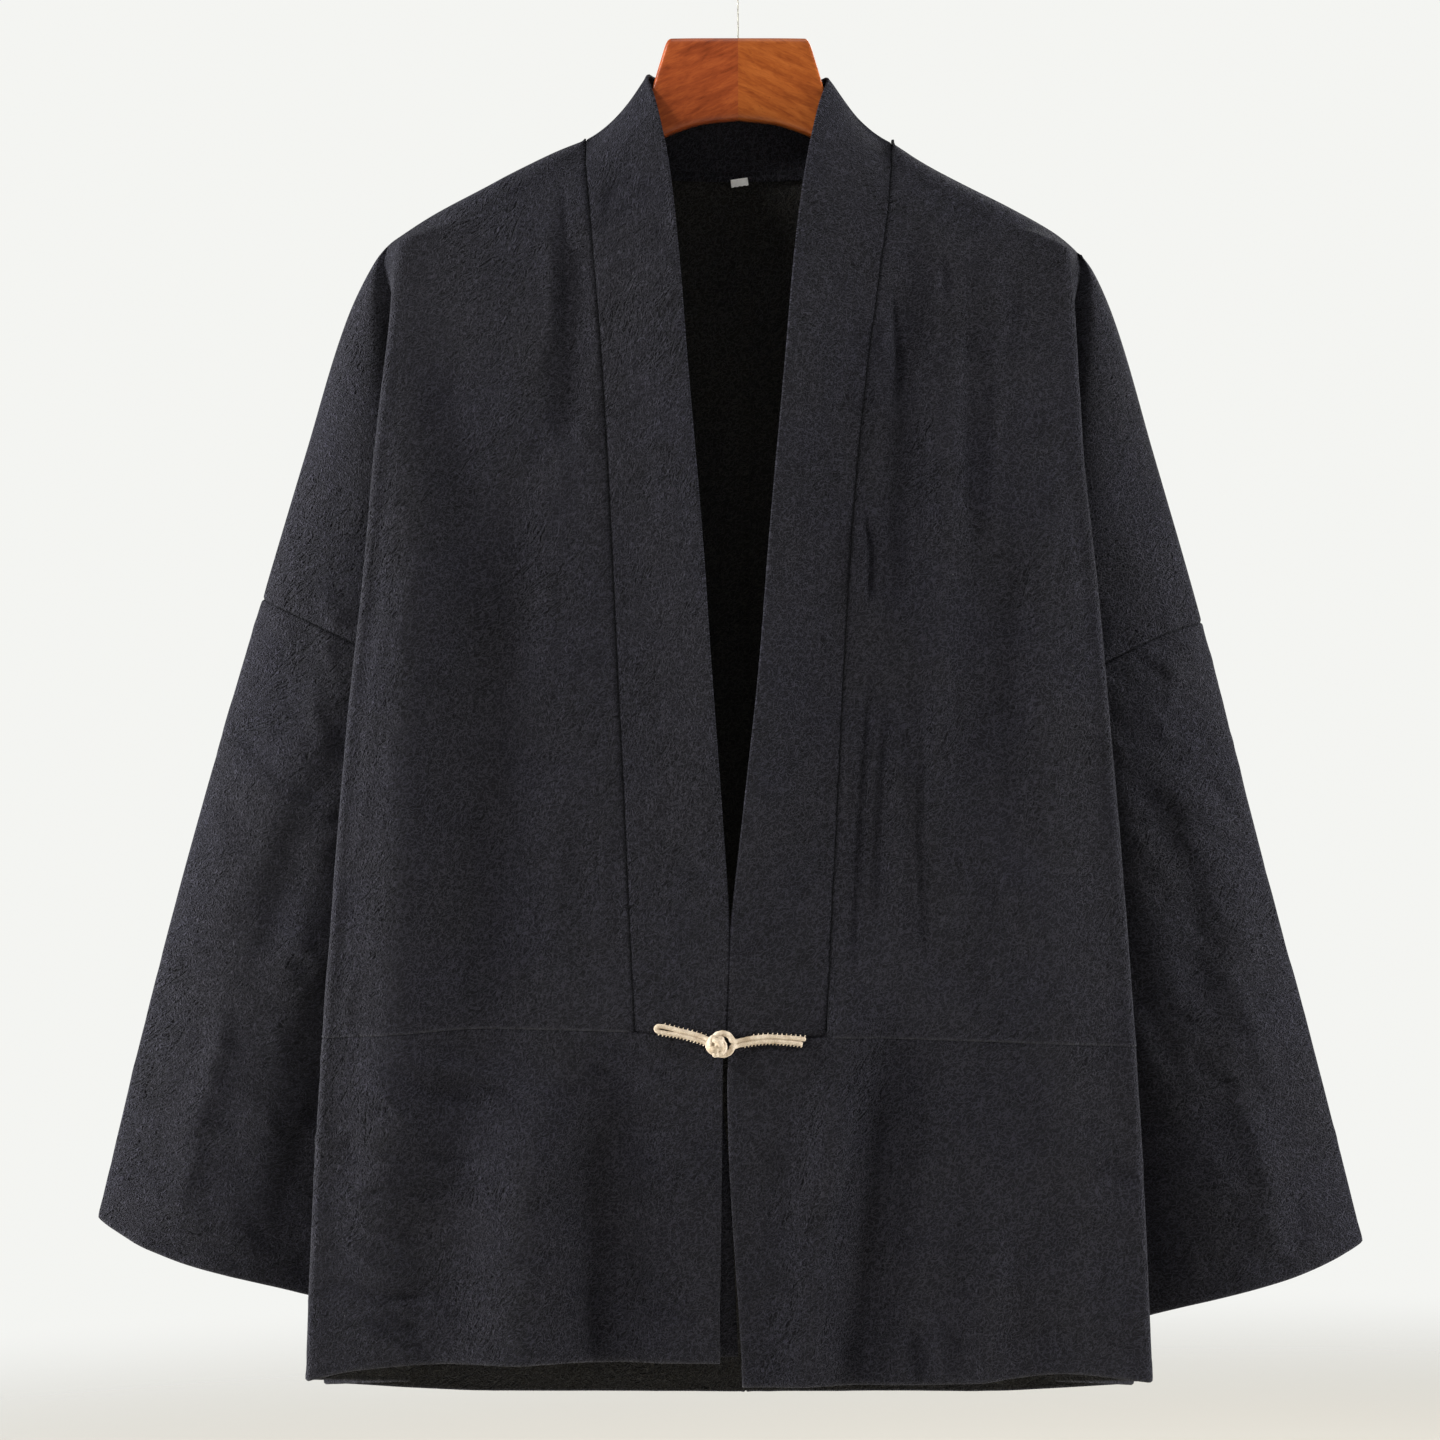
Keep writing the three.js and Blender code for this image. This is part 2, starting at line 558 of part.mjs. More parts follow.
// The upper sleeve of a front or back, cut in one with it: from the hanger's tip to the sleeve seam.
function upperSleeve(sideName, face, bodyRows) {
  const side = SIDES[sideName];
  const seam = side.sleeveSeam;
  const inners = bodyRows.map((row) => {
    const p = row[row.length - 1];
    return { out: side.sign * p.x, z: p.z, depth: Math.abs(p.y) };
  });
  const endZ = seam.underZ + SLEEVE_GAP / 2;
  const armpitOut = read(side.gusset, "out", ARMPIT_Z);
  for (const t of steps(0, 1, UNDERARM_ROWS))
    inners.push({ out: lerp(armpitOut, seam.underOut, t), z: lerp(ARMPIT_Z, endZ, t), depth: 0 });
  return inners.map((inner, i) => {
    const share = (inner.z - side.tipZ) / (endZ - side.tipZ);
    const outerZ = lerp(side.tipZ, seam.topZ + SLEEVE_GAP / 2, share);
    const outer = { out: read(side.crest, "out", outerZ), z: outerZ };
    const row = sleeveRow(side, face, inner, outer, seam.bow * share ** 3);
    if (i < bodyRows.length) row[0] = bodyRows[i][bodyRows[i].length - 1].clone();
    return i === 0 ? row.map(() => row[0].clone()) : row;
  });
}

// Height of a hem or waist seam: by distance from the middle on the face, then on to the side seam.
function edgeZ(line, foldOut, sideZ, out, turned) {
  return turned > 0 ? lerp(read(line, "z", foldOut, "out"), sideZ, turned) : read(line, "z", out, "out");
}

// ---- The panels ----
function armpitNormal(sideName, face) {
  const side = SIDES[sideName];
  const y = ((face === "front" ? -1 : 1) * SEAM_GAP) / 2;
  const at = new THREE.Vector3(side.sign * read(side.gusset, "out", ARMPIT_Z), y, ARMPIT_Z);
  return { at, normal: new THREE.Vector3(0, 0, -1) };
}

function upperFront(sideName) {
  const side = SIDES[sideName];
  const inner = (z) => {
    const seam = bandLine(side, "seam", z);
    return { out: seam.out + SEAM_GAP / 2 };
  };
  const level = (z) => bodyRow(sideName, "front", z, inner(z), () => z);
  const shoulder = SHOULDER_Z.map(level);
  const upper = [side.tipZ, ...steps(side.tipZ, ARMPIT_Z, UPPER_ROWS)].map(level);
  const lower = steps(0, 1, SIDE_ROWS).map((t) => {
    const z = lerp(ARMPIT_Z, SIDE_WAIST_Z, t) - 0.001;
    const foldOut = read(side.fold, "out", z);
    return bodyRow(sideName, "front", z, inner(z), (out, turned) =>
      lerp(ARMPIT_Z, edgeZ(side.waist, foldOut, SIDE_WAIST_Z, out, turned) + SEAM_GAP / 2, t),
    );
  });
  const blocks = [[...shoulder, ...upper, ...lower], upperSleeve(sideName, "front", upper)];
  return wall(blocks, CLOTH, side.sign < 0, [armpitNormal(sideName, "front")]);
}

function lowerFront(sideName) {
  const side = SIDES[sideName];
  const rows = [0, ...steps(0, 1, LOWER_ROWS)].map((t) => {
    const z = lerp(SIDE_WAIST_Z, SIDE_HEM_Z, t);
    const foldOut = read(side.fold, "out", z);
    return bodyRow(sideName, "front", z, { out: read(side.frontEdge, "out", z) }, (out, turned) =>
      lerp(
        edgeZ(side.waist, foldOut, SIDE_WAIST_Z, out, turned) - SEAM_GAP / 2,
        edgeZ(side.frontHem, foldOut, SIDE_HEM_Z, out, turned),
        t,
      ),
    );
  });
  return wall([rows], CLOTH, side.sign < 0);
}

function back(sideName) {
  const side = SIDES[sideName];
  const inner = (z) => {
    const middle = side.sign * BACK_SEAM_X + SEAM_GAP / 2;
    if (z + NECK_GAP < BACK_NECK_Z) return { out: middle, depth: read(DEPTHS, "centreBack", z) };
    const seam = bandLine(side, "seam", z + NECK_GAP, true);
    return { out: seam.out, depth: seam.y };
  };
  const level = (z) => bodyRow(sideName, "back", z, inner(z), () => z);
  const shoulder = BACK_SHOULDER_Z.map(level);
  const upper = [side.tipZ, ...steps(side.tipZ, ARMPIT_Z, UPPER_ROWS)].map(level);
  const lower = steps(0, 1, BACK_ROWS).map((t) => {
    const z = lerp(ARMPIT_Z, SIDE_HEM_Z, t) - 0.001;
    const foldOut = read(side.fold, "out", z);
    return bodyRow(sideName, "back", z, inner(z), (out, turned) =>
      lerp(ARMPIT_Z, edgeZ(BACK_HEM, foldOut, SIDE_HEM_Z, out, turned), t),
    );
  });
  const blocks = [[...shoulder, ...upper, ...lower], upperSleeve(sideName, "back", upper)];
  return wall(blocks, CLOTH, side.sign > 0, [armpitNormal(sideName, "back")]);
}

function sleeve(sideName) {
  const side = SIDES[sideName];
  const { sleeveSeam: seam, cuff } = side;
  const rings = [0, ...steps(0, 1, SLEEVE_ROWS)].map((t) => {
    const z = lerp(seam.underZ - SLEEVE_GAP / 2, cuff.underZ, t);
    const inner = { out: lerp(seam.underOut, cuff.underOut, t), z, depth: 0 };
    const outerZ = lerp(seam.topZ - SLEEVE_GAP / 2, cuff.topZ, t);
    const outer = { out: read(side.crest, "out", outerZ), z: outerZ };
    const bow = lerp(seam.bow, cuff.bow, t);
    const halves = ["front", "back"].map((face) => sleeveRow(side, face, inner, outer, bow));
    for (const row of halves) for (const p of [row[0], row[row.length - 1]]) p.y = 0;
    return [...halves[0], ...halves[1].reverse().slice(1)];
  });
  return wall([rings], CLOTH, side.sign < 0);
}

// The band's rows run from its seam to its free edge. Its stations run from the right waist, round the
// neck, to the left waist, with one more between each two.
function bandHalf(sideName) {
  const side = SIDES[sideName];
  const table = [...side.band, BAND_CENTRE];
  const edge = new THREE.CatmullRomCurve3(
    table.map((s) => new THREE.Vector3(side.sign * s.edgeOut, s.edgeY, s.edgeZ)),
    false,
    "centripetal",
  );
  const spans = table.length - 1;
  return Array.from({ length: 2 * spans + 1 }, (_, i) => {
    const k = Math.min(spans - 1, Math.floor(i / 2));
    const z = lerp(table[k].seamZ, table[k + 1].seamZ, i / 2 - k);
    const seam = bandLine(side, "seam", z, k >= FRONT_STATIONS - 1);
    const a = new THREE.Vector3(side.sign * seam.out, seam.y, z);
    const b = edge.getPoint(i / 2 / spans);
    const start = SEAM_GAP / a.distanceTo(b);
    return [start, ...steps(start, 1, BAND_STEPS)].map((t) => a.clone().lerp(b, t));
  });
}

function band() {
  return wall([[...bandHalf("right"), ...bandHalf("left").reverse().slice(1)]], BAND, true);
}

function facing() {
  const rows = [0, ...steps(0, 1, LOWER_ROWS)].map((t) => {
    const z = lerp(FACING[0].z, FACING[FACING.length - 1].z, t);
    const edge = read(FACING, "edgeX", z);
    const y = read(FACING, "y", z);
    return [0, 0.5, 1].map((u) => new THREE.Vector3(edge - FACING_WIDTH * (1 - u), y, z));
  });
  return wall([rows], FACING_THICK, false);
}

// ---- Frog, size tab, hanger and wire ----

// The cloth's outer Y under a point of the frog.
function frontY(x, z) {
  const sideName = x < -7 ? "right" : "left";
  const out = SIDES[sideName].sign * x;
  return -frontDepth(sideName, out, z) - foldHeight(sideName, "front", out, z);
}

function cordTube(points, closed = false) {
  const section = new THREE.Shape().absarc(0, 0, CORD / 2, 0, Math.PI * 2);
  const path = new THREE.CatmullRomCurve3(points, closed);
  return new THREE.ExtrudeGeometry(section, {
    steps: Math.ceil(path.getLength() / 3),
    curveSegments: 4,
    bevelEnabled: false,
    extrudePath: path,
  });
}

// Both strands of a tail: offset to each side of its middle line, lying on the cloth.
function strand(tail, offset) {
  return tail.map((p, i) => {
    const a = tail[Math.max(0, i - 1)];
    const b = tail[Math.min(tail.length - 1, i + 1)];
    const length = Math.hypot(b.x - a.x, b.z - a.z);
    const x = p.x - ((b.z - a.z) / length) * offset;
    const z = p.z + ((b.x - a.x) / length) * offset;
    return new THREE.Vector3(x, frontY(x, z) - FROG_LIFT - CORD / 2, z);
  });
}

const STRAND_OFFSET = CORD / 2 + 0.15;

function knotTail() {
  const upper = strand(KNOT_TAIL, STRAND_OFFSET);
  const lower = strand(KNOT_TAIL, -STRAND_OFFSET);
  const end = upper[0].clone().lerp(lower[0], 0.5);
  end.x -= KNOT_TAIL_BEND;
  return cordTube([...upper.reverse(), end, ...lower]);
}

function frogLoop() {
  const y = frontY(LOOP.x, LOOP.z) - FROG_LIFT - CORD / 2;
  const ring = [];
  const opening = 0.42; // half the angle at which the ring runs into its tail
  const arcs = 10;
  for (let i = 0; i <= arcs; i++) {
    const angle = lerp(opening, 2 * Math.PI - opening, i / arcs);
    const x = LOOP.x + LOOP.radius * Math.cos(angle);
    ring.push(new THREE.Vector3(x, y, LOOP.z + LOOP.radius * Math.sin(angle)));
  }
  const upper = strand(LOOP_TAIL, STRAND_OFFSET).slice(1).reverse();
  const lower = strand(LOOP_TAIL, -STRAND_OFFSET).slice(1);
  return cordTube([...upper, ...ring, ...lower]);
}

function knot() {
  const base = frontY(KNOT.x, KNOT.z) - FROG_LIFT;
  const meet = Math.asin(KNOT.stem / KNOT.radius);
  const profile = [new THREE.Vector2(0, 0), new THREE.Vector2(KNOT.stem, 0)];
  const arcs = 9;
  for (let i = 0; i <= arcs; i++) {
    const angle = lerp(meet, Math.PI, i / arcs);
    const radius = i === arcs ? 0 : KNOT.radius * Math.sin(angle);
    profile.push(new THREE.Vector2(radius, KNOT.rise - KNOT.radius * Math.cos(angle)));
  }
  return new THREE.LatheGeometry(profile, 16).rotateX(Math.PI).translate(KNOT.x, base, KNOT.z);
}

function hangerHalf(sign) {
  const rings = HANGER.map(({ out, top, bottom, half }) =>
    Array.from({ length: HANGER_RING }, (_, i) => {
      const angle = (2 * Math.PI * (i + 0.5)) / HANGER_RING;
      const square = (v) => Math.sign(v) * Math.abs(v) ** (2 / HANGER_SQUARE);
      const z = (top + bottom) / 2 + (square(Math.sin(angle)) * (top - bottom)) / 2;
      return new THREE.Vector3(sign * out, square(Math.cos(angle)) * half, z);
    }),
  );
  const positions = rings.flat().flatMap((p) => [p.x, p.y, p.z]);
  const faces = [];
  const n = HANGER_RING;
  for (let i = 0; i + 1 < rings.length; i++)
    for (let j = 0; j < n; j++) {
      const [a, b] = [i * n + j, i * n + ((j + 1) % n)];
      faces.push([a, b, a + n], [b, b + n, a + n]);
    }
  const last = (rings.length - 1) * n;
  for (let j = 1; j + 1 < n; j++) {
    faces.push([0, j + 1, j]);
    faces.push([last, last + j, last + j + 1]);
  }
  const geometry = new THREE.BufferGeometry();
  geometry.setAttribute("position", new THREE.Float32BufferAttribute(positions, 3));
  geometry.setIndex(faces.flatMap((f) => (sign > 0 ? f : [f[0], f[2], f[1]])));
  return geometry;
}

function wire() {
  const bottom = HANGER_TOP + SEAM_GAP;
  const top = -2 * WIRE_LOOP_RADIUS - SEAM_GAP;
  return new THREE.CylinderGeometry(WIRE / 2, WIRE / 2, top - bottom, 8, 1)
    .rotateX(Math.PI / 2)
    .translate(0, 0, (top + bottom) / 2);
}

function wireLoop() {
  return new THREE.TorusGeometry(WIRE_LOOP_RADIUS, WIRE / 2, 8, 20)
    .rotateX(Math.PI / 2)
    .translate(0, 0, WIRE / 2 - WIRE_LOOP_RADIUS);
}

// ---- The scene graph ----
const finish = (colour, roughness, metalness = 0) =>
  new THREE.MeshStandardMaterial({ color: colour, roughness, metalness });
const jacketCloth = () => finish(0x25262e, 0.9);
const cordCotton = () => finish(0xd9c3a0, 0.85);
const wood = (colour) => finish(colour, 0.35);

const jacket = new THREE.Group();
function piece(name, geometry, material, group = jacket) {
  const mesh = new THREE.Mesh(geometry, material);
  mesh.name = name;
  group.add(mesh);
  return mesh;
}

for (const sideName of ["right", "left"]) {
  piece(`front_${sideName}`, upperFront(sideName), jacketCloth());
  piece(`lower_front_${sideName}`, lowerFront(sideName), jacketCloth());
  piece(`back_${sideName}`, back(sideName), jacketCloth());
  piece(`sleeve_${sideName}`, sleeve(sideName), jacketCloth());
}
piece("front_band", band(), jacketCloth());
piece("front_facing", facing(), jacketCloth());
piece("frog_knot", knot(), cordCotton());
piece("frog_knot_tail", knotTail(), cordCotton());
piece("frog_loop", frogLoop(), cordCotton());

const tab = piece("size_tab", new THREE.BoxGeometry(TAB.width, TAB.thick, TAB.height), finish(0xeeeeea, 0.8));
tab.position.set(TAB.x, TAB.y, TAB.z);
tab.rotation.y = THREE.MathUtils.degToRad(-TAB.tilt);

const hanger = new THREE.Group();
piece("hanger_right", hangerHalf(-1), wood(0x8a3a17), hanger);
piece("hanger_left", hangerHalf(1), wood(0x9c4a1c), hanger);
piece("hang_wire", wire(), finish(0x9a9890, 0.3, 0.9), hanger);
piece("hang_loop", wireLoop(), finish(0x9a9890, 0.3, 0.9), hanger);

const root = new THREE.Group();
root.add(jacket, hanger);
export default root;
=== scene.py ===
"""Looks for a tang suit jacket of thin crinkled cloth that hangs on a wooden hanger.

Tables are in millimetres in the CAD's frame: X across (wearer's left at +X), Y from front to back, Z up,
origin at the top of the wire's eye. "out" is a distance from X = 0 towards the wearer's right or left.
The panels follow the CAD's shape on finer grids, as thin shells whose seams turn in and lap. Their cloth
is thinner than the solids', their valleys are shallower and their shoulders rounder.
"""
import math

import bpy
import numpy as np
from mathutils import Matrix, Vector


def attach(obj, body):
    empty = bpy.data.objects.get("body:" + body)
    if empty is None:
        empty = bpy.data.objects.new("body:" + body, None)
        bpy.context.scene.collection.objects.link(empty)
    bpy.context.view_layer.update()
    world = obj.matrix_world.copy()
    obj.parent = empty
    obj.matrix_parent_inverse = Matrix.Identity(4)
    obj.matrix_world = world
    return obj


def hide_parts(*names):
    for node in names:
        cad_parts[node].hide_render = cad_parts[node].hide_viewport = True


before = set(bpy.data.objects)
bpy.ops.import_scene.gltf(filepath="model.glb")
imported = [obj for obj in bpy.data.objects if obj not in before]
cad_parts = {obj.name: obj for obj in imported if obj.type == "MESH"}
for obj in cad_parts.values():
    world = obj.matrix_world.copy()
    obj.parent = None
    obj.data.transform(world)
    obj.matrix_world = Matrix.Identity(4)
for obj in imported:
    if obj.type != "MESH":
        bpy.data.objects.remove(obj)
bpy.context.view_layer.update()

MM = 0.001
CLOTH, BAND = 1.0, 1.8
BACK_SEAM_X = 5.0
ARMPIT_Z = -371.0
BACK_NECK_Z = -119.4
SIDE_WAIST_Z = -637.0
SIDE_HEM_Z = -845.0
FRONT_STATIONS = 10
CORD, RING_CORD = 2.8, 3.5

# ---- The cloth's shape, as in the CAD but for the valleys ----
SIDES = {
    "right": {
        "sign": -1,
        "tip_z": -164,
        "crest": [(-101, 92), (-107, 107), (-113, 120), (-128, 149), (-146, 183), (-158, 202), (-164, 210),
                  (-176, 219), (-209, 235), (-287, 259), (-376, 285.5), (-509, 324), (-640, 358.5), (-747, 384)],
        "fold": [(-101, 90), (-113, 112), (-128, 137), (-146, 170), (-158, 193), (-166, 204), (-212, 207),
                 (-290, 215), (-372, 222), (-451, 230), (-574, 240), (-697, 248), (-850, 254)],
        "valley": [(-164, 210, 0), (-176, 211, 12), (-196, 206, 17), (-245, 190, 12), (-290, 176, 10),
                   (-331, 163, 6), (-371, 150, 0)],
        "gusset": [(-371, 150), (-451, 152), (-574, 166), (-697, 182), (-860, 201)],
        "sleeve_seam": {"under_out": 158, "under_z": -437, "top_z": -376, "bow": 0},
        "cuff": {"under_out": 222, "under_z": -803, "top_z": -747, "bow": 7},
        "waist": [(8, -636), (34, -633.7), (61, -631.3), (147, -629.5), (205, -633), (244, -635)],
        "front_hem": [(8, -825), (170, -825), (224, -829), (252, -835)],
        "front_edge": [(-636, 9.6), (-700, 10), (-840, 11.5)],
        "band": [
            (61, -630.8, -58, 8, -635.5, -60), (64, -574, -57, 6, -574, -60), (67, -506, -56, 10, -506, -60),
            (71, -425, -53, 16, -423, -58), (75, -340, -49, 22, -336, -54), (80, -250, -43, 30, -243, -47),
            (85, -185, -36, 36, -170, -38), (89, -140, -27, 43, -112, -25), (91.5, -114, -14, 50, -80, -14.5),
            (92, -101, 0, 55, -62, 0), (86, -107, 11, 50, -62, 13), (66, -114, 19, 38, -61, 20),
            (34, -118.5, 22, 20, -60.5, 24),
        ],
    },
    "left": {
        "sign": 1,
        "tip_z": -168,
        "crest": [(-103, 93), (-107, 99), (-113, 108), (-128, 136), (-146, 171), (-158, 192), (-168, 203.5),
                  (-180, 213), (-209, 226), (-287, 249), (-390, 278.5), (-509, 309), (-640, 344), (-761, 375)],
        "fold": [(-103, 92), (-113, 101), (-128, 124), (-146, 159), (-160, 186), (-170, 198), (-212, 200),
                 (-290, 204), (-372, 212), (-451, 219), (-574, 229), (-697, 237), (-850, 243)],
        "valley": [(-168, 203.5, 0), (-180, 205, 12), (-200, 200, 17), (-245, 185, 12), (-290, 171, 10),
                   (-331, 159, 6), (-371, 147, 0)],
        "gusset": [(-371, 147), (-451, 149), (-574, 161), (-697, 176), (-860, 194)],
        "sleeve_seam": {"under_out": 155, "under_z": -447, "top_z": -390, "bow": -4},
        "cuff": {"under_out": 214, "under_z": -814, "top_z": -761, "bow": 5.5},
        "waist": [(-6, -636), (23, -635.3), (52, -634.6), (150, -637), (233, -640)],
        "front_hem": [(0, -839), (130, -837), (190, -831), (241, -836)],
        "front_edge": [(-636, -5), (-665, -6), (-840, 3)],
        "band": [
            (52, -634.1, -58, -6, -635.5, -60), (54.5, -574, -57, -4, -574, -60), (58, -506, -56, 3, -506, -60),
            (62, -425, -53, 12, -423, -58), (67, -340, -49, 19, -336, -54), (75.5, -250, -43, 27.5, -243, -47),
            (84, -185, -36, 34, -170, -38), (90, -140, -27, 42, -113, -25), (92, -117, -14, 49, -82, -14.5),
            (93, -103, 0, 54.5, -64, 0), (87, -108.5, 11, 50, -63, 13), (66, -115, 19, 38, -61.5, 20),
            (34, -118.5, 22, 20, -60.5, 24),
        ],
    },
}
BAND_CENTRE = (0, BACK_NECK_Z, 22.5, 0, -60, 25)
BACK_HEM = [(0, -861), (150, -860), (250, -855)]
# z: depth at the front fold, at the back fold, at the centre back, and the fold's radius
DEPTHS = [
    (-101, 1, 1, 20, 3), (-113, 13, 12, 22, 8), (-128, 19, 17, 25, 12), (-146, 22, 20, 29, 13),
    (-164, 24, 23, 32, 8), (-188, 28, 27, 35, 5), (-248, 38, 35, 40, 4), (-372, 48, 44, 47, 4),
    (-507, 52, 48, 52, 4), (-640, 54, 51, 56, 4), (-860, 60, 57, 62, 4),
]
# Soft folds of the CAD: top out, top z, end out, end z, half width, height
FOLDS = {
    ("right", "front"): [
        (188, -230, 212, -880, 22, 5), (132, -260, 150, -700, 24, -6), (98, -150, 102, -300, 9, -3),
        (118, -650, 122, -900, 20, 6), (72, -640, 66, -900, 17, -6),
    ],
    ("left", "front"): [
        (104, -140, 92, -420, 8, -3), (132, -180, 112, -560, 11, 3), (176, -260, 186, -760, 24, 4),
        (66, -600, 34, -900, 16, 6), (94, -600, 66, -900, 16, -6), (150, -720, 146, -900, 11, 3),
    ],
    ("right", "back"): [(70, -200, 96, -900, 22, 6), (140, -260, 160, -820, 24, -6)],
    ("left", "back"): [(84, -190, 104, -900, 22, 5), (150, -280, 150, -900, 22, -6)],
}
FOLD_FADE = 0.3
SLEEVE_HALF = [
    (-164, 1, 0), (-176, 12, 0), (-196, 20, 0), (-245, 22, 0), (-331, 22, 1), (-371, 22, 3), (-437, 23, 3.5),
    (-600, 21, 4), (-815, 16, 4),
]
SLEEVE_PEAK = 0.52
FACING = [(-644, -13, -55.4), (-712, -6, -55), (-822, -0.5, -53.5)]
HANGER = [
    (0.0, -40.2, -89, 7), (20, -40.2, -91.2, 7), (40, -40.4, -97.4, 7), (42, -41.5, -98.4, 7),
    (46.5, -54, -100.6, 7), (51, -69, -103, 7), (56, -84, -106.5, 7), (64, -97, -112, 7.5),
    (80, -109.5, -123, 8.5), (104, -123, -139, 10), (134, -138, -160, 12), (160, -151.5, -175, 13),
    (178, -162.5, -185, 12), (187, -170, -186, 9), (190, -175, -183, 5),
]

# ---- Creases, listed one by one: points (out or distance across, z), half width, height, sharpness ----
SOFT, CRISP = 2.0, 1.25
CREASES = {
    ("right", "front"): [
        ([(106, -118), (103, -152), (102, -190), (101, -240)], 2.8, -0.75, CRISP),
        ([(112, -156), (111, -200), (108, -240)], 4.0, 0.7, SOFT),
        ([(178, -205), (164, -330), (154, -470)], 13, -1.6, SOFT),
        ([(195, -468), (150, -476), (104, -473), (80, -478)], 3.4, -0.7, CRISP),
        ([(118, -300), (113, -390), (117, -455)], 8, 0.9, SOFT),
        ([(90, -480), (96, -560), (93, -612)], 9, -0.8, SOFT),
        ([(203, -640), (186, -652), (160, -654), (130, -663)], 4.0, 1.5, SOFT),
        ([(205, -655), (180, -668), (140, -676)], 3.6, -1.2, SOFT),
        ([(196, -702), (170, -707), (146, -704)], 2.8, -1.2, CRISP),
        ([(238, -785), (210, -788), (178, -787)], 2.6, -1.1, CRISP),
        ([(242, -748), (229, -760), (216, -770)], 3.2, 0.8, SOFT),
        ([(82, -688), (50, -696), (22, -700)], 4.2, 0.8, SOFT),
        ([(88, -765), (85, -795), (80, -830)], 6.0, -1.8, SOFT),
        ([(148, -640), (145, -760), (144, -930)], 22, 3.0, SOFT),
        ([(92, -650), (82, -760), (80, -930)], 18, -3.0, SOFT),
        ([(190, -668), (150, -664), (112, -676)], 2.8, -1.1, CRISP),
        ([(226, -722), (190, -728), (160, -722)], 2.6, -1.0, CRISP),
        ([(130, -742), (104, -722), (84, -700)], 2.8, -1.0, CRISP),
    ],
    ("left", "front"): [
        ([(92, -182), (94, -215), (98, -268)], 3.0, -1.8, CRISP),
        ([(87, -205), (88, -250)], 3.4, 0.8, SOFT),
        ([(74, -322), (78, -352), (77, -388)], 2.6, -1.9, CRISP),
        ([(70, -318), (73, -350), (72, -390)], 2.8, 1.2, SOFT),
        ([(122, -170), (124, -205)], 2.8, -0.9, CRISP),
        ([(92, -173), (108, -179), (124, -181)], 3.2, -0.6, CRISP),
        ([(107, -220), (114, -262), (119, -312)], 5.5, 1.2, SOFT),
        ([(109, -145), (112, -260), (107, -392)], 3.4, -0.5, SOFT),
        ([(138, -150), (137, -250), (141, -380)], 4.5, -0.7, SOFT),
        ([(153, -160), (155, -260), (150, -370)], 5.5, 0.7, SOFT),
        ([(168, -300), (160, -420), (166, -560)], 10, -1.2, SOFT),
        ([(80, -645), (66, -720), (48, -806)], 5.0, -1.4, CRISP),
        ([(98, -795), (100, -842)], 4.5, 1.2, SOFT),
        ([(109, -800), (110, -842)], 4.0, -1.1, SOFT),
        ([(121, -796), (123, -842)], 5.0, 1.1, SOFT),
        ([(190, -700), (150, -708), (120, -704)], 3.6, -0.6, CRISP),
        ([(80, -400), (74, -470), (69, -560), (66, -612)], 2.5, -1.7, CRISP),
        ([(89, -410), (83, -500), (79, -590)], 2.5, -1.3, CRISP),
        ([(96, -430), (92, -520), (94, -600)], 3.4, 0.8, SOFT),
        ([(112, -420), (106, -520), (110, -610)], 3.0, -1.0, SOFT),
    ],
    ("right", "back"): [
        ([(30, -128), (52, -190), (60, -260)], 4.5, -1.3, CRISP),
        ([(118, -170), (112, -250), (120, -330)], 6, 1.1, SOFT),
        ([(12, -300), (60, -316), (120, -308)], 3.8, -0.8, CRISP),
        ([(170, -260), (166, -380), (176, -520)], 12, -1.5, SOFT),
        ([(90, -470), (140, -482), (190, -476)], 3.6, -0.8, CRISP),
        ([(40, -560), (46, -700), (38, -830)], 12, 1.6, SOFT),
        ([(120, -700), (126, -790), (118, -855)], 8, -1.6, SOFT),
        ([(200, -650), (196, -760), (204, -850)], 9, 1.4, SOFT),
    ],
    ("left", "back"): [
        ([(26, -130), (44, -200), (50, -290)], 4.2, -1.2, CRISP),
        ([(126, -180), (134, -270), (128, -350)], 7, 1.0, SOFT),
        ([(20, -350), (70, -362), (110, -352)], 3.6, -0.8, CRISP),
        ([(162, -250), (170, -390), (160, -540)], 12, -1.4, SOFT),
        ([(110, -520), (150, -532), (196, -522)], 3.6, -0.7, CRISP),
        ([(50, -540), (42, -690), (52, -840)], 11, 1.6, SOFT),
        ([(96, -720), (100, -800), (94, -858)], 7, -1.5, SOFT),
        ([(190, -680), (198, -770), (190, -848)], 10, 1.5, SOFT),
    ],
}
# Sleeves: distance across from the underarm, z
SLEEVE_CREASES = {
    "right": [
        ([(10, -455), (50, -500), (96, -520)], 5, -1.3, CRISP),
        ([(6, -520), (46, -560), (84, -640)], 7, 1.3, SOFT),
        ([(60, -430), (92, -520), (104, -640)], 11, -1.6, SOFT),
        ([(30, -640), (56, -700), (62, -790)], 8, -1.4, SOFT),
        ([(110, -600), (124, -700), (120, -770)], 9, 1.3, SOFT),
    ],
    "left": [
        ([(12, -465), (56, -505), (104, -512)], 5, -1.2, CRISP),
        ([(8, -540), (44, -600), (70, -700)], 8, 1.4, SOFT),
        ([(70, -450), (98, -540), (96, -660)], 11, -1.5, SOFT),
        ([(24, -680), (40, -740), (44, -800)], 7, -1.2, SOFT),
        ([(104, -640), (118, -720), (112, -780)], 8, 1.2, SOFT),
    ],
}


# ---- Curves and noise ----
CREASE_REACH, CREASE_FADE = 3, 0.35
# Crinkle waves: length across, length down, height
BROAD, MIDDLE, FINE = (34, 95, 0.75), (15, 36, 0.3), (7.5, 10.5, 0.13)


def smooth(t):
    t = np.clip(t, 0, 1)
    return t * t * (3 - 2 * t)


def lerp(a, b, t):
    return a + (b - a) * t


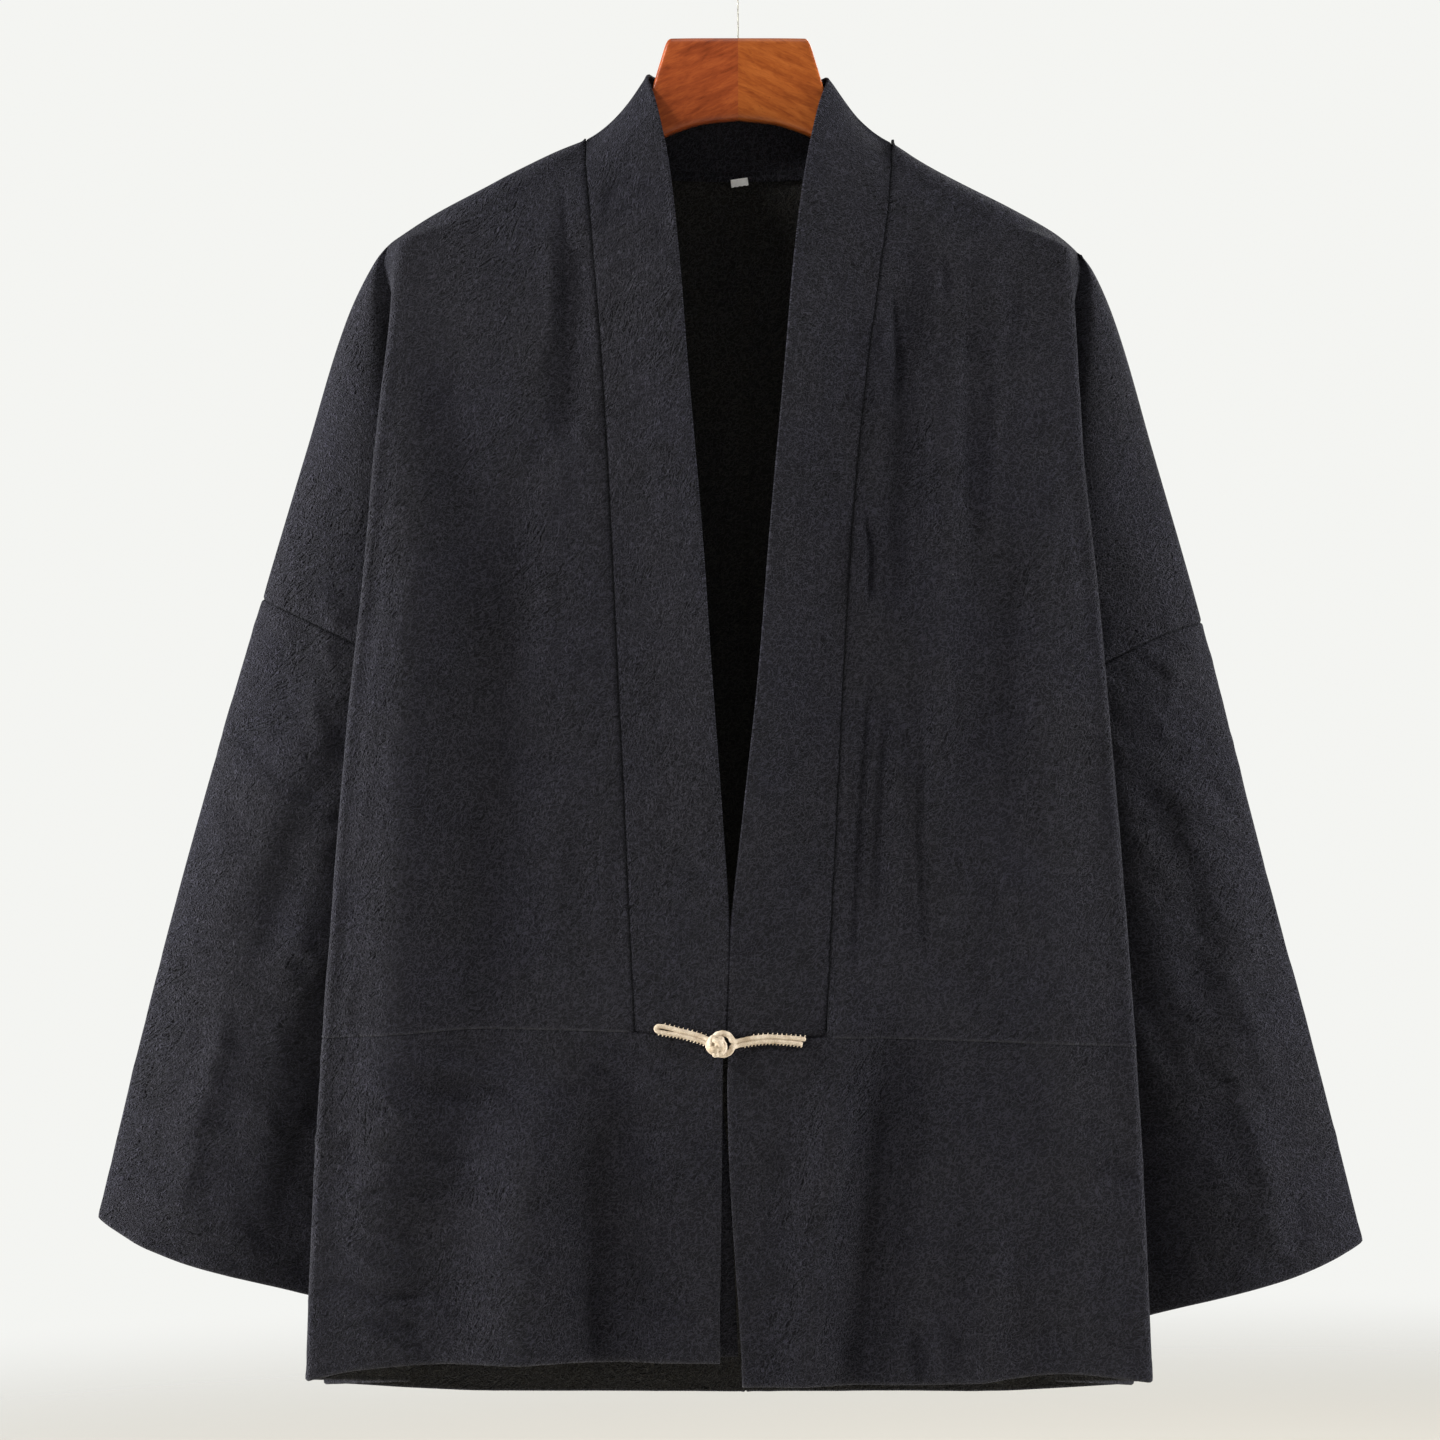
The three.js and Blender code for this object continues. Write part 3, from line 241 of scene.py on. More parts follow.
def bell(distance, width):
    return np.exp(-((distance / width) ** 2))


def hermite(a, b, slope_a, slope_b, t):
    """A cubic from a to b whose slopes at both ends are given."""
    t2, t3 = t * t, t * t * t
    return (2 * t3 - 3 * t2 + 1) * a + (t3 - 2 * t2 + t) * slope_a + (3 * t2 - 2 * t3) * b + (t3 - t2) * slope_b


def curve(table, x, value=1, key=0):
    """Reads a table's column at x as a smooth curve with no overshoot, held at both ends."""
    rows = np.asarray(table, float)
    if rows[0, key] > rows[-1, key]:
        rows = rows[::-1]
    k, v = rows[:, key], rows[:, value]
    slope = np.diff(v) / np.diff(k)
    same = slope[1:] * slope[:-1] > 0
    total = np.where(same, slope[1:] + slope[:-1], 1)
    inside = np.where(same, 2 * slope[1:] * slope[:-1] / total, 0)
    tangent = np.concatenate([slope[:1], inside, slope[-1:]])
    i = np.clip(np.searchsorted(k, x) - 1, 0, len(k) - 2)
    step = k[i + 1] - k[i]
    return hermite(v[i], v[i + 1], step * tangent[i], step * tangent[i + 1], np.clip((x - k[i]) / step, 0, 1))


def noise(x, y, seed):
    """Smooth noise between -1 and 1 on a unit grid."""
    xi, yi = np.floor(x).astype(np.int64), np.floor(y).astype(np.int64)
    fx, fy = smooth(x - xi), smooth(y - yi)

    def corner(i, j):
        n = (i * 374761393 + j * 668265263 + seed * 2246822519) & 0xFFFFFFFF
        n = ((n ^ (n >> 13)) * 1274126177) & 0xFFFFFFFF
        return ((n ^ (n >> 16)) & 0xFFFF) / 32767.5 - 1

    top = lerp(corner(xi, yi), corner(xi + 1, yi), fx)
    return lerp(top, lerp(corner(xi, yi + 1), corner(xi + 1, yi + 1), fx), fy)


def crease_height(a, z, creases):
    """Height of the creases at points, each fading out towards both its ends."""
    total = np.zeros_like(a)
    for points, width, height, sharp in creases:
        p = np.asarray(points, float)
        low, high = p.min(0) - CREASE_REACH * width, p.max(0) + CREASE_REACH * width
        near = (a > low[0]) & (a < high[0]) & (z > low[1]) & (z < high[1])
        if not near.any():
            continue
        pa, pz = a[near], z[near]
        nearest, along, start = np.full(pa.shape, np.inf), np.zeros_like(pa), 0.0
        for (a0, z0), (da, dz) in zip(p, np.diff(p, axis=0)):
            length = np.hypot(da, dz)
            s = np.clip(((pa - a0) * da + (pz - z0) * dz) / length**2, 0, 1)
            distance = np.hypot(pa - a0 - s * da, pz - z0 - s * dz)
            along = np.where(distance < nearest, start + s * length, along)
            nearest = np.minimum(distance, nearest)
            start += length
        t = along / start
        fade = smooth(t / CREASE_FADE) * smooth((1 - t) / CREASE_FADE)
        total[near] += height * fade * np.exp(-((nearest / width) ** sharp))
    return total


def scatter(seed, count, region, lean, spread, length, width, height):
    """Short random creases in a region of (out, z), leaning from the vertical by lean degrees."""
    rng = np.random.default_rng(seed)
    (a0, a1), (z0, z1) = region
    creases = []
    for _ in range(count):
        angle = math.radians(lean + rng.normal(0, spread))
        long = rng.uniform(*length)
        middle = np.array([rng.uniform(a0, a1), rng.uniform(z0, z1)])
        step = np.array([math.sin(angle), -math.cos(angle)]) * long / 2
        side = np.array([step[1], -step[0]]) * rng.uniform(-0.25, 0.25)
        points = [middle - step, middle + side, middle + step]
        rise = rng.uniform(*height) * rng.choice([-1, 1])
        creases.append((points, rng.uniform(*width), rise, CRISP if rng.random() < 0.5 else SOFT))
    return creases


def crinkle(a, z, seed):
    """Uneven soft waves of thin cloth, longer along the warp than across it."""
    warp = 7 * noise(a / 60, z / 90, seed + 1)
    broad = noise((a + warp) / BROAD[0], z / BROAD[1], seed + 2)
    middle = noise((a + warp) / MIDDLE[0], (z + warp) / MIDDLE[1], seed + 3)
    fine = noise((a - warp) / FINE[0], (z + warp) / FINE[1], seed + 4)
    patch = 0.55 + 0.45 * noise(a / 70, z / 80, seed + 5)
    return BROAD[2] * broad + MIDDLE[2] * middle + FINE[2] * fine * patch


# ---- The panels' plain shape ----
FOLD_RISE = 1.25
SHOULDER_BLEND, SHOULDER_ROUND = 26, 1.8
SEAM_STEPS = np.array([0, 0.6, 1.2, 2.0, 3.2, 5.0])
SEAM_ROOM = 24
FACE_COLUMNS, FOLD_COLUMNS, GUSSET_COLUMNS, SLEEVE_COLUMNS = 78, 7, 26, 52
SHOULDER_ROWS = [(-101.0, -117.0, -1.0), (-117.0, -121.0, -0.3)]
SHOULDER_END_STEP = -1.5
UPPER_ROWS, FRONT_ROWS, LOWER_ROWS, BACK_ROWS, ARM_ROWS, SLEEVE_ROWS = 76, 84, 66, 150, 20, 120
ON_MIDDLE = 0.25
NO_SEAM = 50


def band_line(side, line, z, neck=False):
    """The distance out and the Y of the band's seam or edge at a height."""
    rows = side["band"][FRONT_STATIONS - 1 :] + [BAND_CENTRE] if neck else side["band"][:FRONT_STATIONS]
    first = 0 if line == "seam" else 3
    return curve(rows, z, first, first + 1), curve(rows, z, first + 2, first + 1)


def fold_height(side_name, face, out, z):
    height = np.zeros_like(np.asarray(out, float))
    for top_out, top_z, end_out, end_z, width, rise in FOLDS[side_name, face]:
        t = (z - top_z) / (end_z - top_z)
        fade = smooth(t / FOLD_FADE) * smooth((1 - t) / FOLD_FADE)
        height += FOLD_RISE * rise * fade * bell(out - lerp(top_out, end_out, t), width)
    return height


def front_depth(side_name, out, z):
    side = SIDES[side_name]
    seam_out, seam_y = band_line(side, "seam", z)
    edge_out, edge_y = band_line(side, "edge", z)
    inside = lerp(-seam_y, -edge_y, (seam_out - out) / (seam_out - edge_out))
    t = smooth((out - seam_out) / np.maximum(1, curve(side["fold"], z) - seam_out))
    return np.where(out < seam_out, inside, lerp(-seam_y, curve(DEPTHS, z, 1), t))


def back_depth(side_name, out, z, inner_out, inner_depth):
    t = smooth((out - inner_out) / max(1, curve(SIDES[side_name]["fold"], z) - inner_out))
    return lerp(inner_depth, curve(DEPTHS, z, 2), t)


def spread(start, end, count, near_start=True, near_end=True):
    """Points from start to end, close together where a seam is, wide apart between."""
    length = abs(end - start)
    steps = SEAM_STEPS * min(1, length / SEAM_ROOM)
    head, tail = (steps if near else steps[:1] for near in (near_start, near_end))
    middle = np.linspace(head[-1], length - tail[-1], count)[1:-1]
    run = np.concatenate([head, middle, (length - tail)[::-1]])
    return start + run * (1 if end >= start else -1)


def body_row(side_name, face, z, inner_out, inner_depth, height_at):
    """A row of a front or back: points, distance across, and distance to the inner and the outer seam."""
    side = SIDES[side_name]
    fold_out = float(curve(side["fold"], z))
    depth = float(curve(DEPTHS, z, 1 if face == "front" else 2))
    last_depth = 0.0
    if z >= side["tip_z"]:
        last_out = float(curve(side["crest"], z))
    elif z < ARMPIT_Z:
        last_out = float(curve(side["gusset"], z))
    else:
        last_out, last_depth = (float(curve(side["valley"], z, column)) for column in (1, 2))
    room = min(depth * 0.8, (fold_out - inner_out) * 0.6)
    above = float(smooth((z - side["tip_z"]) / SHOULDER_BLEND))
    radius = min(float(curve(DEPTHS, z, 4)) * (1 + SHOULDER_ROUND * above), room)
    reach = math.hypot(last_out - fold_out + radius, last_depth - depth + radius)
    if reach < radius * 1.05:
        radius = 0.7 * reach
    centre_out, centre_depth = fold_out - radius, depth - radius

    def face_depth(out):
        height = fold_height(side_name, face, out, z) * smooth((centre_out - out) / 12)
        if face == "front":
            return front_depth(side_name, out, z) + height
        return back_depth(side_name, out, z, inner_out, inner_depth) + height

    mismatch = depth - float(face_depth(np.array(centre_out)))
    out = spread(inner_out, centre_out, FACE_COLUMNS, near_end=False)
    t = (out - inner_out) / max(1e-6, centre_out - inner_out)
    reach = math.hypot(last_out - centre_out, last_depth - centre_depth)
    heading = math.atan2(last_depth - centre_depth, last_out - centre_out)
    end_angle = heading + math.acos(min(1, radius / reach))
    angles = np.linspace(math.pi / 2, end_angle, FOLD_COLUMNS + 1)[1:]
    fold_o = centre_out + radius * np.cos(angles)
    fold_d = centre_depth + radius * np.sin(angles)
    run = math.hypot(last_out - fold_o[-1], last_depth - fold_d[-1])
    share = spread(0, run, GUSSET_COLUMNS, near_start=False)[1:] / max(run, 1e-6)
    turn_o = np.concatenate([fold_o, lerp(fold_o[-1], last_out, share)])
    turn_d = np.concatenate([fold_d, lerp(fold_d[-1], last_depth, share)])
    if above > 0:
        quarter = np.linspace(math.pi / 2, 0, len(turn_o) + 1)[1:]
        turn_o = lerp(turn_o, centre_out + (last_out - centre_out) * np.cos(quarter), above)
        turn_d = lerp(turn_d, depth * np.sin(quarter), above)
    all_out = np.concatenate([out, turn_o])
    all_depth = np.concatenate([face_depth(out) + mismatch * smooth(t), turn_d])
    turned = np.concatenate([np.zeros(len(out) + len(fold_o)), share])
    heights = height_at(np.minimum(all_out, fold_out), turned, fold_out)
    towards = -1 if face == "front" else 1
    points = np.stack([side["sign"] * all_out, towards * all_depth, heights], 1)
    arc = np.concatenate([[0], np.cumsum(np.hypot(np.diff(all_out), np.diff(all_depth)))])
    return points, inner_out + arc, arc, arc[-1] - arc


def edge_z(line, fold_out, side_z, out, turned):
    at_fold = curve(line, fold_out, 1, 0)
    return np.where(turned > 0, lerp(at_fold, side_z, turned), curve(line, out, 1, 0))


def body_block(side_name, face, zs, inner_at, height_for):
    """The rows of a front or back at the heights zs, with the sides' seams on the middle plane."""
    rows = [body_row(side_name, face, z, *inner_at(z), height_for(i)) for i, z in enumerate(zs)]
    points, *runs = (np.stack(column) for column in zip(*rows))
    points[np.abs(points[:, :, 1]) < ON_MIDDLE, 1] = 0
    return points, *runs


def upper_body(side_name, face, inner_at, line, end_z, count):
    """A front or back from the shoulder to its waist or hem line, and its points along the armhole."""
    side = SIDES[side_name]
    runs = SHOULDER_ROWS + [(SHOULDER_ROWS[-1][1], side["tip_z"] + 0.5, SHOULDER_END_STEP)]
    shoulder = np.concatenate([np.arange(*run) for run in runs])
    levels = np.concatenate([shoulder, np.linspace(side["tip_z"], ARMPIT_Z, UPPER_ROWS)])
    span = ARMPIT_Z - end_z
    drops = spread(0, span, count, near_start=False)[1:]
    zs = np.concatenate([levels, ARMPIT_Z - drops])

    def height_for(i):
        if i < len(levels):
            return lambda out, turned, fold_out: np.full(len(out), zs[i])
        t = drops[i - len(levels)] / span
        return lambda out, turned, fold_out: lerp(ARMPIT_Z, edge_z(line, fold_out, end_z, out, turned), t)

    points, across, inner_gap, outer_gap = body_block(side_name, face, zs, inner_at, height_for)
    closed = (zs >= side["tip_z"]) | (zs < ARMPIT_Z)
    outer_gap = np.where(closed[:, None], outer_gap, NO_SEAM)
    return zs, points, across, inner_gap, outer_gap, points[len(shoulder) : len(levels), -1]


def sleeve_depth(u, in_z, width, depth):
    half = max(float(curve(SLEEVE_HALF, in_z, 1)), depth)
    edge = max(0.01, float(curve(SLEEVE_HALF, in_z, 2)))
    beyond = half * np.maximum(0, 1 - ((u - SLEEVE_PEAK) / (1 - SLEEVE_PEAK)) ** 2) ** 0.6
    rounded = edge * np.sqrt(1 - (1 - np.clip(u * width / edge, 0, 1)) ** 2)
    before = depth + rounded + (half - depth - edge) * smooth(u / SLEEVE_PEAK)
    return np.where(u > SLEEVE_PEAK, beyond, before)


def sleeve_row(side, face, inner, outer, bow):
    """Points across half a sleeve from inner to outer (out, z, depth), and the distance across."""
    width = math.hypot(outer[0] - inner[0], outer[1] - inner[1])
    u = (1 - np.cos(np.pi * np.linspace(0, 1, SLEEVE_COLUMNS + 1))) / 2
    depth = sleeve_depth(u, inner[1], width, inner[2])
    z = lerp(inner[1], outer[1], u) - bow * np.sin(np.pi * u * u)
    towards = -1 if face == "front" else 1
    return np.stack([side["sign"] * lerp(inner[0], outer[0], u), towards * depth, z], 1), u * width


def upper_sleeve(side, face, armhole):
    """The part of a front or back that runs on from its armhole into the sleeve, to the sleeve seam."""
    seam = side["sleeve_seam"]
    inners = [(side["sign"] * p[0], p[2], abs(p[1])) for p in armhole]
    armpit_out = float(curve(side["gusset"], ARMPIT_Z))
    drop = ARMPIT_Z - seam["under_z"]
    for d in spread(0, drop, ARM_ROWS, near_start=False)[1:]:
        inners.append((lerp(armpit_out, seam["under_out"], d / drop), ARMPIT_Z - d, 0.0))
    points, across, along = [], [], []
    for i, inner in enumerate(inners):
        share = (inner[1] - side["tip_z"]) / (seam["under_z"] - side["tip_z"])
        outer_z = lerp(side["tip_z"], seam["top_z"], share)
        outer = (float(curve(side["crest"], outer_z)), outer_z)
        row, run_across = sleeve_row(side, face, inner, outer, seam["bow"] * share**3)
        if i < len(armhole):
            row[0] = armhole[i]
        else:
            row[0, 1] = 0
        if i == 0:
            row[:] = row[0]
        row[-1, 1] = 0
        points.append(row)
        across.append(run_across)
        along.append(np.full(len(row), (1 - share) * (side["tip_z"] - seam["under_z"])))
    return np.stack(points), np.stack(across), np.stack(along)


# ---- Shells ----
MERGE = 100  # points that are the same to 1 / MERGE mm are one
RIM_BULGE = 0.5


def make_object(name, vertices, faces, materials, flat_sides=5):
    """A smooth mesh; faces with more than flat_sides sides are flat ends."""
    mesh = bpy.data.meshes.new(name)
    mesh.from_pydata((np.asarray(vertices) * MM).tolist(), [], faces)
    for material in materials:
        mesh.materials.append(material)
    mesh.polygons.foreach_set("use_smooth", [len(f) <= flat_sides for f in faces])
    mesh.update()
    obj = bpy.data.objects.new(name, mesh)
    bpy.context.scene.collection.objects.link(obj)
    return obj


class Cloth:
    """A sheet gathered from grids of points, with cloth coordinates and the height of its relief."""

    def __init__(self):
        self.grids, self.faces, self.count = [], [], 0

    def add(self, points, across, relief, flip, down=None, wear_and_painted_light=0.0, allowance=0.0):
        """The value for wear and painted light makes edges lighter where it is positive, as rubbed wear and a
        painted highlight, and seams darker where it is negative, as soil and a painted shadow; allowance is cloth on
        the wrong side.
        """
        rows, columns = across.shape
        down = points[:, :, 2] if down is None else down
        values = [np.broadcast_to(v, across.shape).reshape(-1) for v in (across, down, relief, wear_and_painted_light, allowance)]
        self.grids.append(np.column_stack([points.reshape(-1, 3), *values]))
        i, j = np.meshgrid(np.arange(rows - 1), np.arange(columns - 1), indexing="ij")
        a = (self.count + i * columns + j).reshape(-1)
        order = [a, a + 1, a + columns + 1, a + columns] if flip else [a, a + columns, a + columns + 1, a + 1]
        self.faces.append(np.stack(order, 1))
        self.count += rows * columns

    def shell(self, name, thickness, materials, seam_planes=True):
        data = np.concatenate(self.grids)
        keys = np.round(data[:, :3] * MERGE).astype(np.int64)
        _, first, inverse = np.unique(keys, axis=0, return_index=True, return_inverse=True)
        data = data[first]
        points = data[:, :3]
        faces = inverse.reshape(-1)[np.concatenate(self.faces)]
        faces = faces[np.array([len(set(f)) >= 3 for f in faces.tolist()])]
        planes = [np.zeros(len(points), bool)] * 2
        if seam_planes:
            planes = [np.abs(points[:, 1]) < 0.3, (np.abs(points[:, 0] - BACK_SEAM_X) < 0.3) & (points[:, 1] > 5)]
        points = points + vertex_normals(points, faces, planes) * data[:, 5:6]
        normals = vertex_normals(points, faces, planes)
        bulge = RIM_BULGE * ~(planes[0] | planes[1])
        thick = thickness + data[:, 7]
        return make_shell(name, points, faces, normals, thick, bulge, data[:, 3:5], data[:, 6], materials)


def vertex_normals(points, faces, planes):
    """Normals that stay in the middle plane and the back seam's plane."""
    a, b, c, d = (points[faces[:, k]] for k in range(4))
    face_normals = np.cross(c - a, d - b)
    normals = np.zeros_like(points)
    for k in range(4):
        np.add.at(normals, faces[:, k], face_normals)
    normals[planes[0], 1] = 0
    normals[planes[1], 0] = 0
    return normals / np.maximum(1e-9, np.linalg.norm(normals, axis=1))[:, None]


def make_shell(name, points, faces, normals, thickness, bulge, places, wear_and_painted_light, materials):
    """A closed shell: outer faces, inner faces thickness below, and a rounded rim along open edges."""
    outer = [[v for k, v in enumerate(f) if v != f[k - 1]] for f in faces.tolist()]
    outer = [f for f in outer if len(f) >= 3]
    n = len(points)
    inner_points = points - normals * thickness[:, None]
    edges = {(f[k - 1], v): True for f in outer for k, v in enumerate(f)}
    rim = [(u, v) for (u, v) in edges if (v, u) not in edges]
    outward = np.zeros_like(points)
    ends = np.array(rim)
    away = np.cross(points[ends[:, 1]] - points[ends[:, 0]], normals[ends[:, 0]])
    for k in (0, 1):
        np.add.at(outward, ends[:, k], away)
    outward /= np.maximum(1e-9, np.linalg.norm(outward, axis=1))[:, None]
    rim_ids = sorted({v for edge in rim for v in edge})
    extra = {v: 2 * n + i for i, v in enumerate(rim_ids)}
    middle = (points + inner_points)[rim_ids] / 2 + outward[rim_ids] * (bulge * thickness)[rim_ids, None]
    vertices = np.concatenate([points, inner_points, middle])
    inner = [[v + n for v in reversed(f)] for f in outer]
    rims = []
    for u, v in rim:
        rims.append([v, u, extra[u], extra[v]])
        rims.append([extra[v], extra[u], u + n, v + n])
    all_faces = outer + inner + rims
    obj = make_object(name, vertices, all_faces, materials)
    index = np.zeros(len(all_faces), np.int32)
    if len(materials) > 1:
        index[len(outer) : 2 * len(outer)] = 1
    obj.data.polygons.foreach_set("material_index", index)
    coordinates = np.zeros((len(vertices), 3), np.float32)
    coordinates[:, :2] = np.concatenate([places, places, places[rim_ids]]) * MM
    obj.data.attributes.new("cloth", "FLOAT_VECTOR", "POINT").data.foreach_set("vector", coordinates.reshape(-1))
    # Wear and painted light: rubbed edges with painted highlights are lighter, and seams with soil and painted
    # shadow are darker.
    wear_and_painted_light_values = np.concatenate([wear_and_painted_light, wear_and_painted_light, wear_and_painted_light[rim_ids]]).astype(np.float32)
    obj.data.attributes.new("wear_and_painted_light", "FLOAT", "POINT").data.foreach_set("value", wear_and_painted_light_values)
    return obj


# ---- Relief ----
CREASE_RISE, RANDOM_RISE, SLEEVE_RISE, BAND_RISE = 1.9, 1.5, 1.6, 1.5
PUCKER = 0.3
SEAM_LINE, EDGE_LINE = 0.8, 1.1
HEM_TURNED, CUFF_TURNED, HEM_CLOTH = 12.0, 9.0, 0.7
WAIST_SEED, SLEEVE_SEED, CENTRE_SEED, BAND_SEED = 77, 88, 260, 120
LAP = np.array([-3.0, -1.8, -0.9, -0.3])
BAND_LAP = np.array([-3.5, -2.2, -1.0, -0.3])

RANDOM_CREASES = {
    ("right", "front"): scatter(11, 90, ((75, 330), (-630, -170)), 4, 20, (18, 80), (2.6, 6), (0.15, 0.55)),
    ("left", "front"): scatter(12, 110, ((75, 330), (-630, -170)), -4, 20, (18, 80), (2.6, 6), (0.15, 0.6)),
    ("right", "back"): scatter(13, 170, ((10, 330), (-850, -150)), 0, 24, (20, 90), (2.6, 6.5), (0.15, 0.6)),
    ("left", "back"): scatter(14, 170, ((10, 330), (-850, -150)), 0, 24, (20, 90), (2.6, 6.5), (0.15, 0.6)),
}
LOWER_CREASES = {
    "right": scatter(15, 130, ((15, 340), (-830, -645)), -72, 20, (16, 70), (2.2, 3.6), (0.35, 1.0)),
    "left": scatter(16, 90, ((15, 340), (-830, -645)), 60, 25, (15, 60), (2.4, 4.5), (0.2, 0.65)),
}
BAND_CREASES = (
    scatter(19, 70, ((4, 52), (-560, -20)), 60, 30, (12, 40), (2.2, 4.0), (0.2, 0.6))
    + scatter(20, 70, ((4, 52), (-1340, -800)), -60, 30, (12, 40), (2.2, 4.0), (0.2, 0.6))
)
SLEEVE_CREASES["right"] += scatter(17, 170, ((0, 170), (-800, -380)), -40, 20, (14, 60), (2.4, 4.6), (0.25, 0.8))
SLEEVE_CREASES["left"] += scatter(18, 170, ((0, 170), (-810, -390)), 40, 20, (14, 60), (2.4, 4.6), (0.25, 0.8))


def groove(distance, depth, width=1.1):
    return -depth * bell(distance, width)


def lapped(gap, under, line, line_width, step, fall):
    """A seam where this piece's edge lies under its neighbour (gap < 0) and steps up beside it."""
    return np.where(gap < 0, -under, groove(gap, line, line_width) - step * np.exp(-np.abs(gap) / fall))


def pucker(seam_run, distance, seed, size=PUCKER):
    """Small puckers across a seam, equal on both of its sides."""
    wave = noise(seam_run / 7.5, seam_run * 0, seed) + 0.6 * noise(seam_run / 3.9, seam_run * 0, seed + 1)
    return size * wave * np.exp(-distance / 6)


def clear_of(distance, fade=7):
    """0 at a seam and 1 away from it, so that sewn edges keep to each other."""
    return smooth(distance / fade)


def body_relief(side_name, face, points, across, inner_gap, outer_gap, seed, extra=()):
    z = points[:, :, 2]
    rise = crinkle(across, z, seed) + CREASE_RISE * crease_height(across, z, CREASES[side_name, face])
    rise += RANDOM_RISE * crease_height(across, z, [*RANDOM_CREASES[side_name, face], *extra])
    from_fold = np.abs(np.abs(points[:, :, 0]) - curve(SIDES[side_name]["fold"], z))
    return rise * clear_of(inner_gap) * clear_of(outer_gap) * (0.35 + 0.65 * smooth(from_fold / 16))


def fold_wear_and_highlight(side, points, zs):
    """A lighter line on the edge of a front or back fold, below the shoulder: rubbed wear and a painted highlight of
    the fold's rim.
    """
    from_fold = side["sign"] * points[:, :, 0] - curve(side["fold"], zs)[:, None]
    return 0.12 * bell(from_fold, 1.6) * smooth((side["tip_z"] - 4 - zs) / 30)[:, None]


def hem_relief(distance, across, seed, turned=HEM_TURNED):
    """A turned-up hem: a faint step at its top, a sewn line with small puckers, and a rolled edge."""
    step = 0.2 * smooth((turned + 2 - distance) / 2)
    line = groove(distance - turned, 0.22, 1.3) * (0.6 + 0.4 * noise(across / 9, across * 0, seed + 9))
    return step + line + groove(distance, 0.25, 1.2)


def hem_allowance(distance, turned=HEM_TURNED):
    return HEM_CLOTH * smooth((turned + 1 - distance) / 1.5)


# ---- Panels ----
SLEEVE_LEAN = math.radians(20)  # a sleeve's grain runs aslant because it hangs from the shoulder
UPPER_SLEEVE_START = 400
BAND_START, BAND_STATION = 700, 2.6
BAND_TILT, COLLAR_HOLLOW = 3.0, 4.0
FACING_WIDTH = 30


def turned_places(side, across, z):
    u = side["sign"] * across
    return (
        u * math.cos(SLEEVE_LEAN) - z * math.sin(SLEEVE_LEAN), u * math.sin(SLEEVE_LEAN) + z * math.cos(SLEEVE_LEAN),
    )


def sleeve_crinkle(across, z, seed):
    return crinkle(across + 0.5 * z, z, seed)


def add_upper_sleeve(cloth, side_name, face, armhole, seed, flip):
    side = SIDES[side_name]
    points, across, along = upper_sleeve(side, face, armhole)
    z = points[:, :, 2]
    edge = across[:, -1:] - across
    relief = sleeve_crinkle(across, z, seed) + SLEEVE_RISE * crease_height(across, z, SLEEVE_CREASES[side_name])
    relief *= clear_of(across, 10) * clear_of(edge, 16) * clear_of(along)
    relief += groove(along, 0.7) + groove(edge, 0.25) + pucker(across, along, SLEEVE_SEED)
    relief *= clear_of(across, 2)
    u, v = turned_places(side, across + UPPER_SLEEVE_START, z)
    # The last value darkens the seam: painted shadow with soil.
    cloth.add(points, u, relief, flip, v, -0.8 * bell(along, SEAM_LINE))


def front(side_name):
    side = SIDES[side_name]
    seed, flip = (100, True) if side_name == "right" else (140, False)
    zs, points, across, inner_gap, outer_gap, armhole = upper_body(
        side_name, "front", lambda z: (float(band_line(side, "seam", z)[0]), 0.0),
        side["waist"], SIDE_WAIST_Z, FRONT_ROWS,
    )
    z = points[:, :, 2]
    waist_gap = np.broadcast_to((zs - SIDE_WAIST_Z)[:, None], z.shape)
    relief = body_relief(side_name, "front", points, across, inner_gap, outer_gap, seed) * clear_of(waist_gap)
    relief += pucker(z, inner_gap, seed + 20) + pucker(across, waist_gap, WAIST_SEED)
    relief += groove(inner_gap, 0.55) + groove(waist_gap, -0.3, 1.6) + groove(outer_gap, 0.25)
    relief *= smooth((-100 - z) / 14)
    # Painted highlight with rubbed wear: a light line at the waist seam and along the fold. Painted shadow with
    # soil: a dark line at the band's seam.
    wear_and_painted_light = 0.42 * bell(waist_gap, SEAM_LINE) * smooth((inner_gap - 2) / 3) + fold_wear_and_highlight(side, points, zs)
    wear_and_painted_light -= 0.75 * bell(inner_gap, SEAM_LINE)
    cloth = Cloth()
    cloth.add(points, side["sign"] * across, relief, flip, wear_and_painted_light=wear_and_painted_light)
    add_upper_sleeve(cloth, side_name, "front", armhole, seed + 30, flip)
    return cloth.shell(f"cloth_front_{side_name}", CLOTH, CLOTHS)


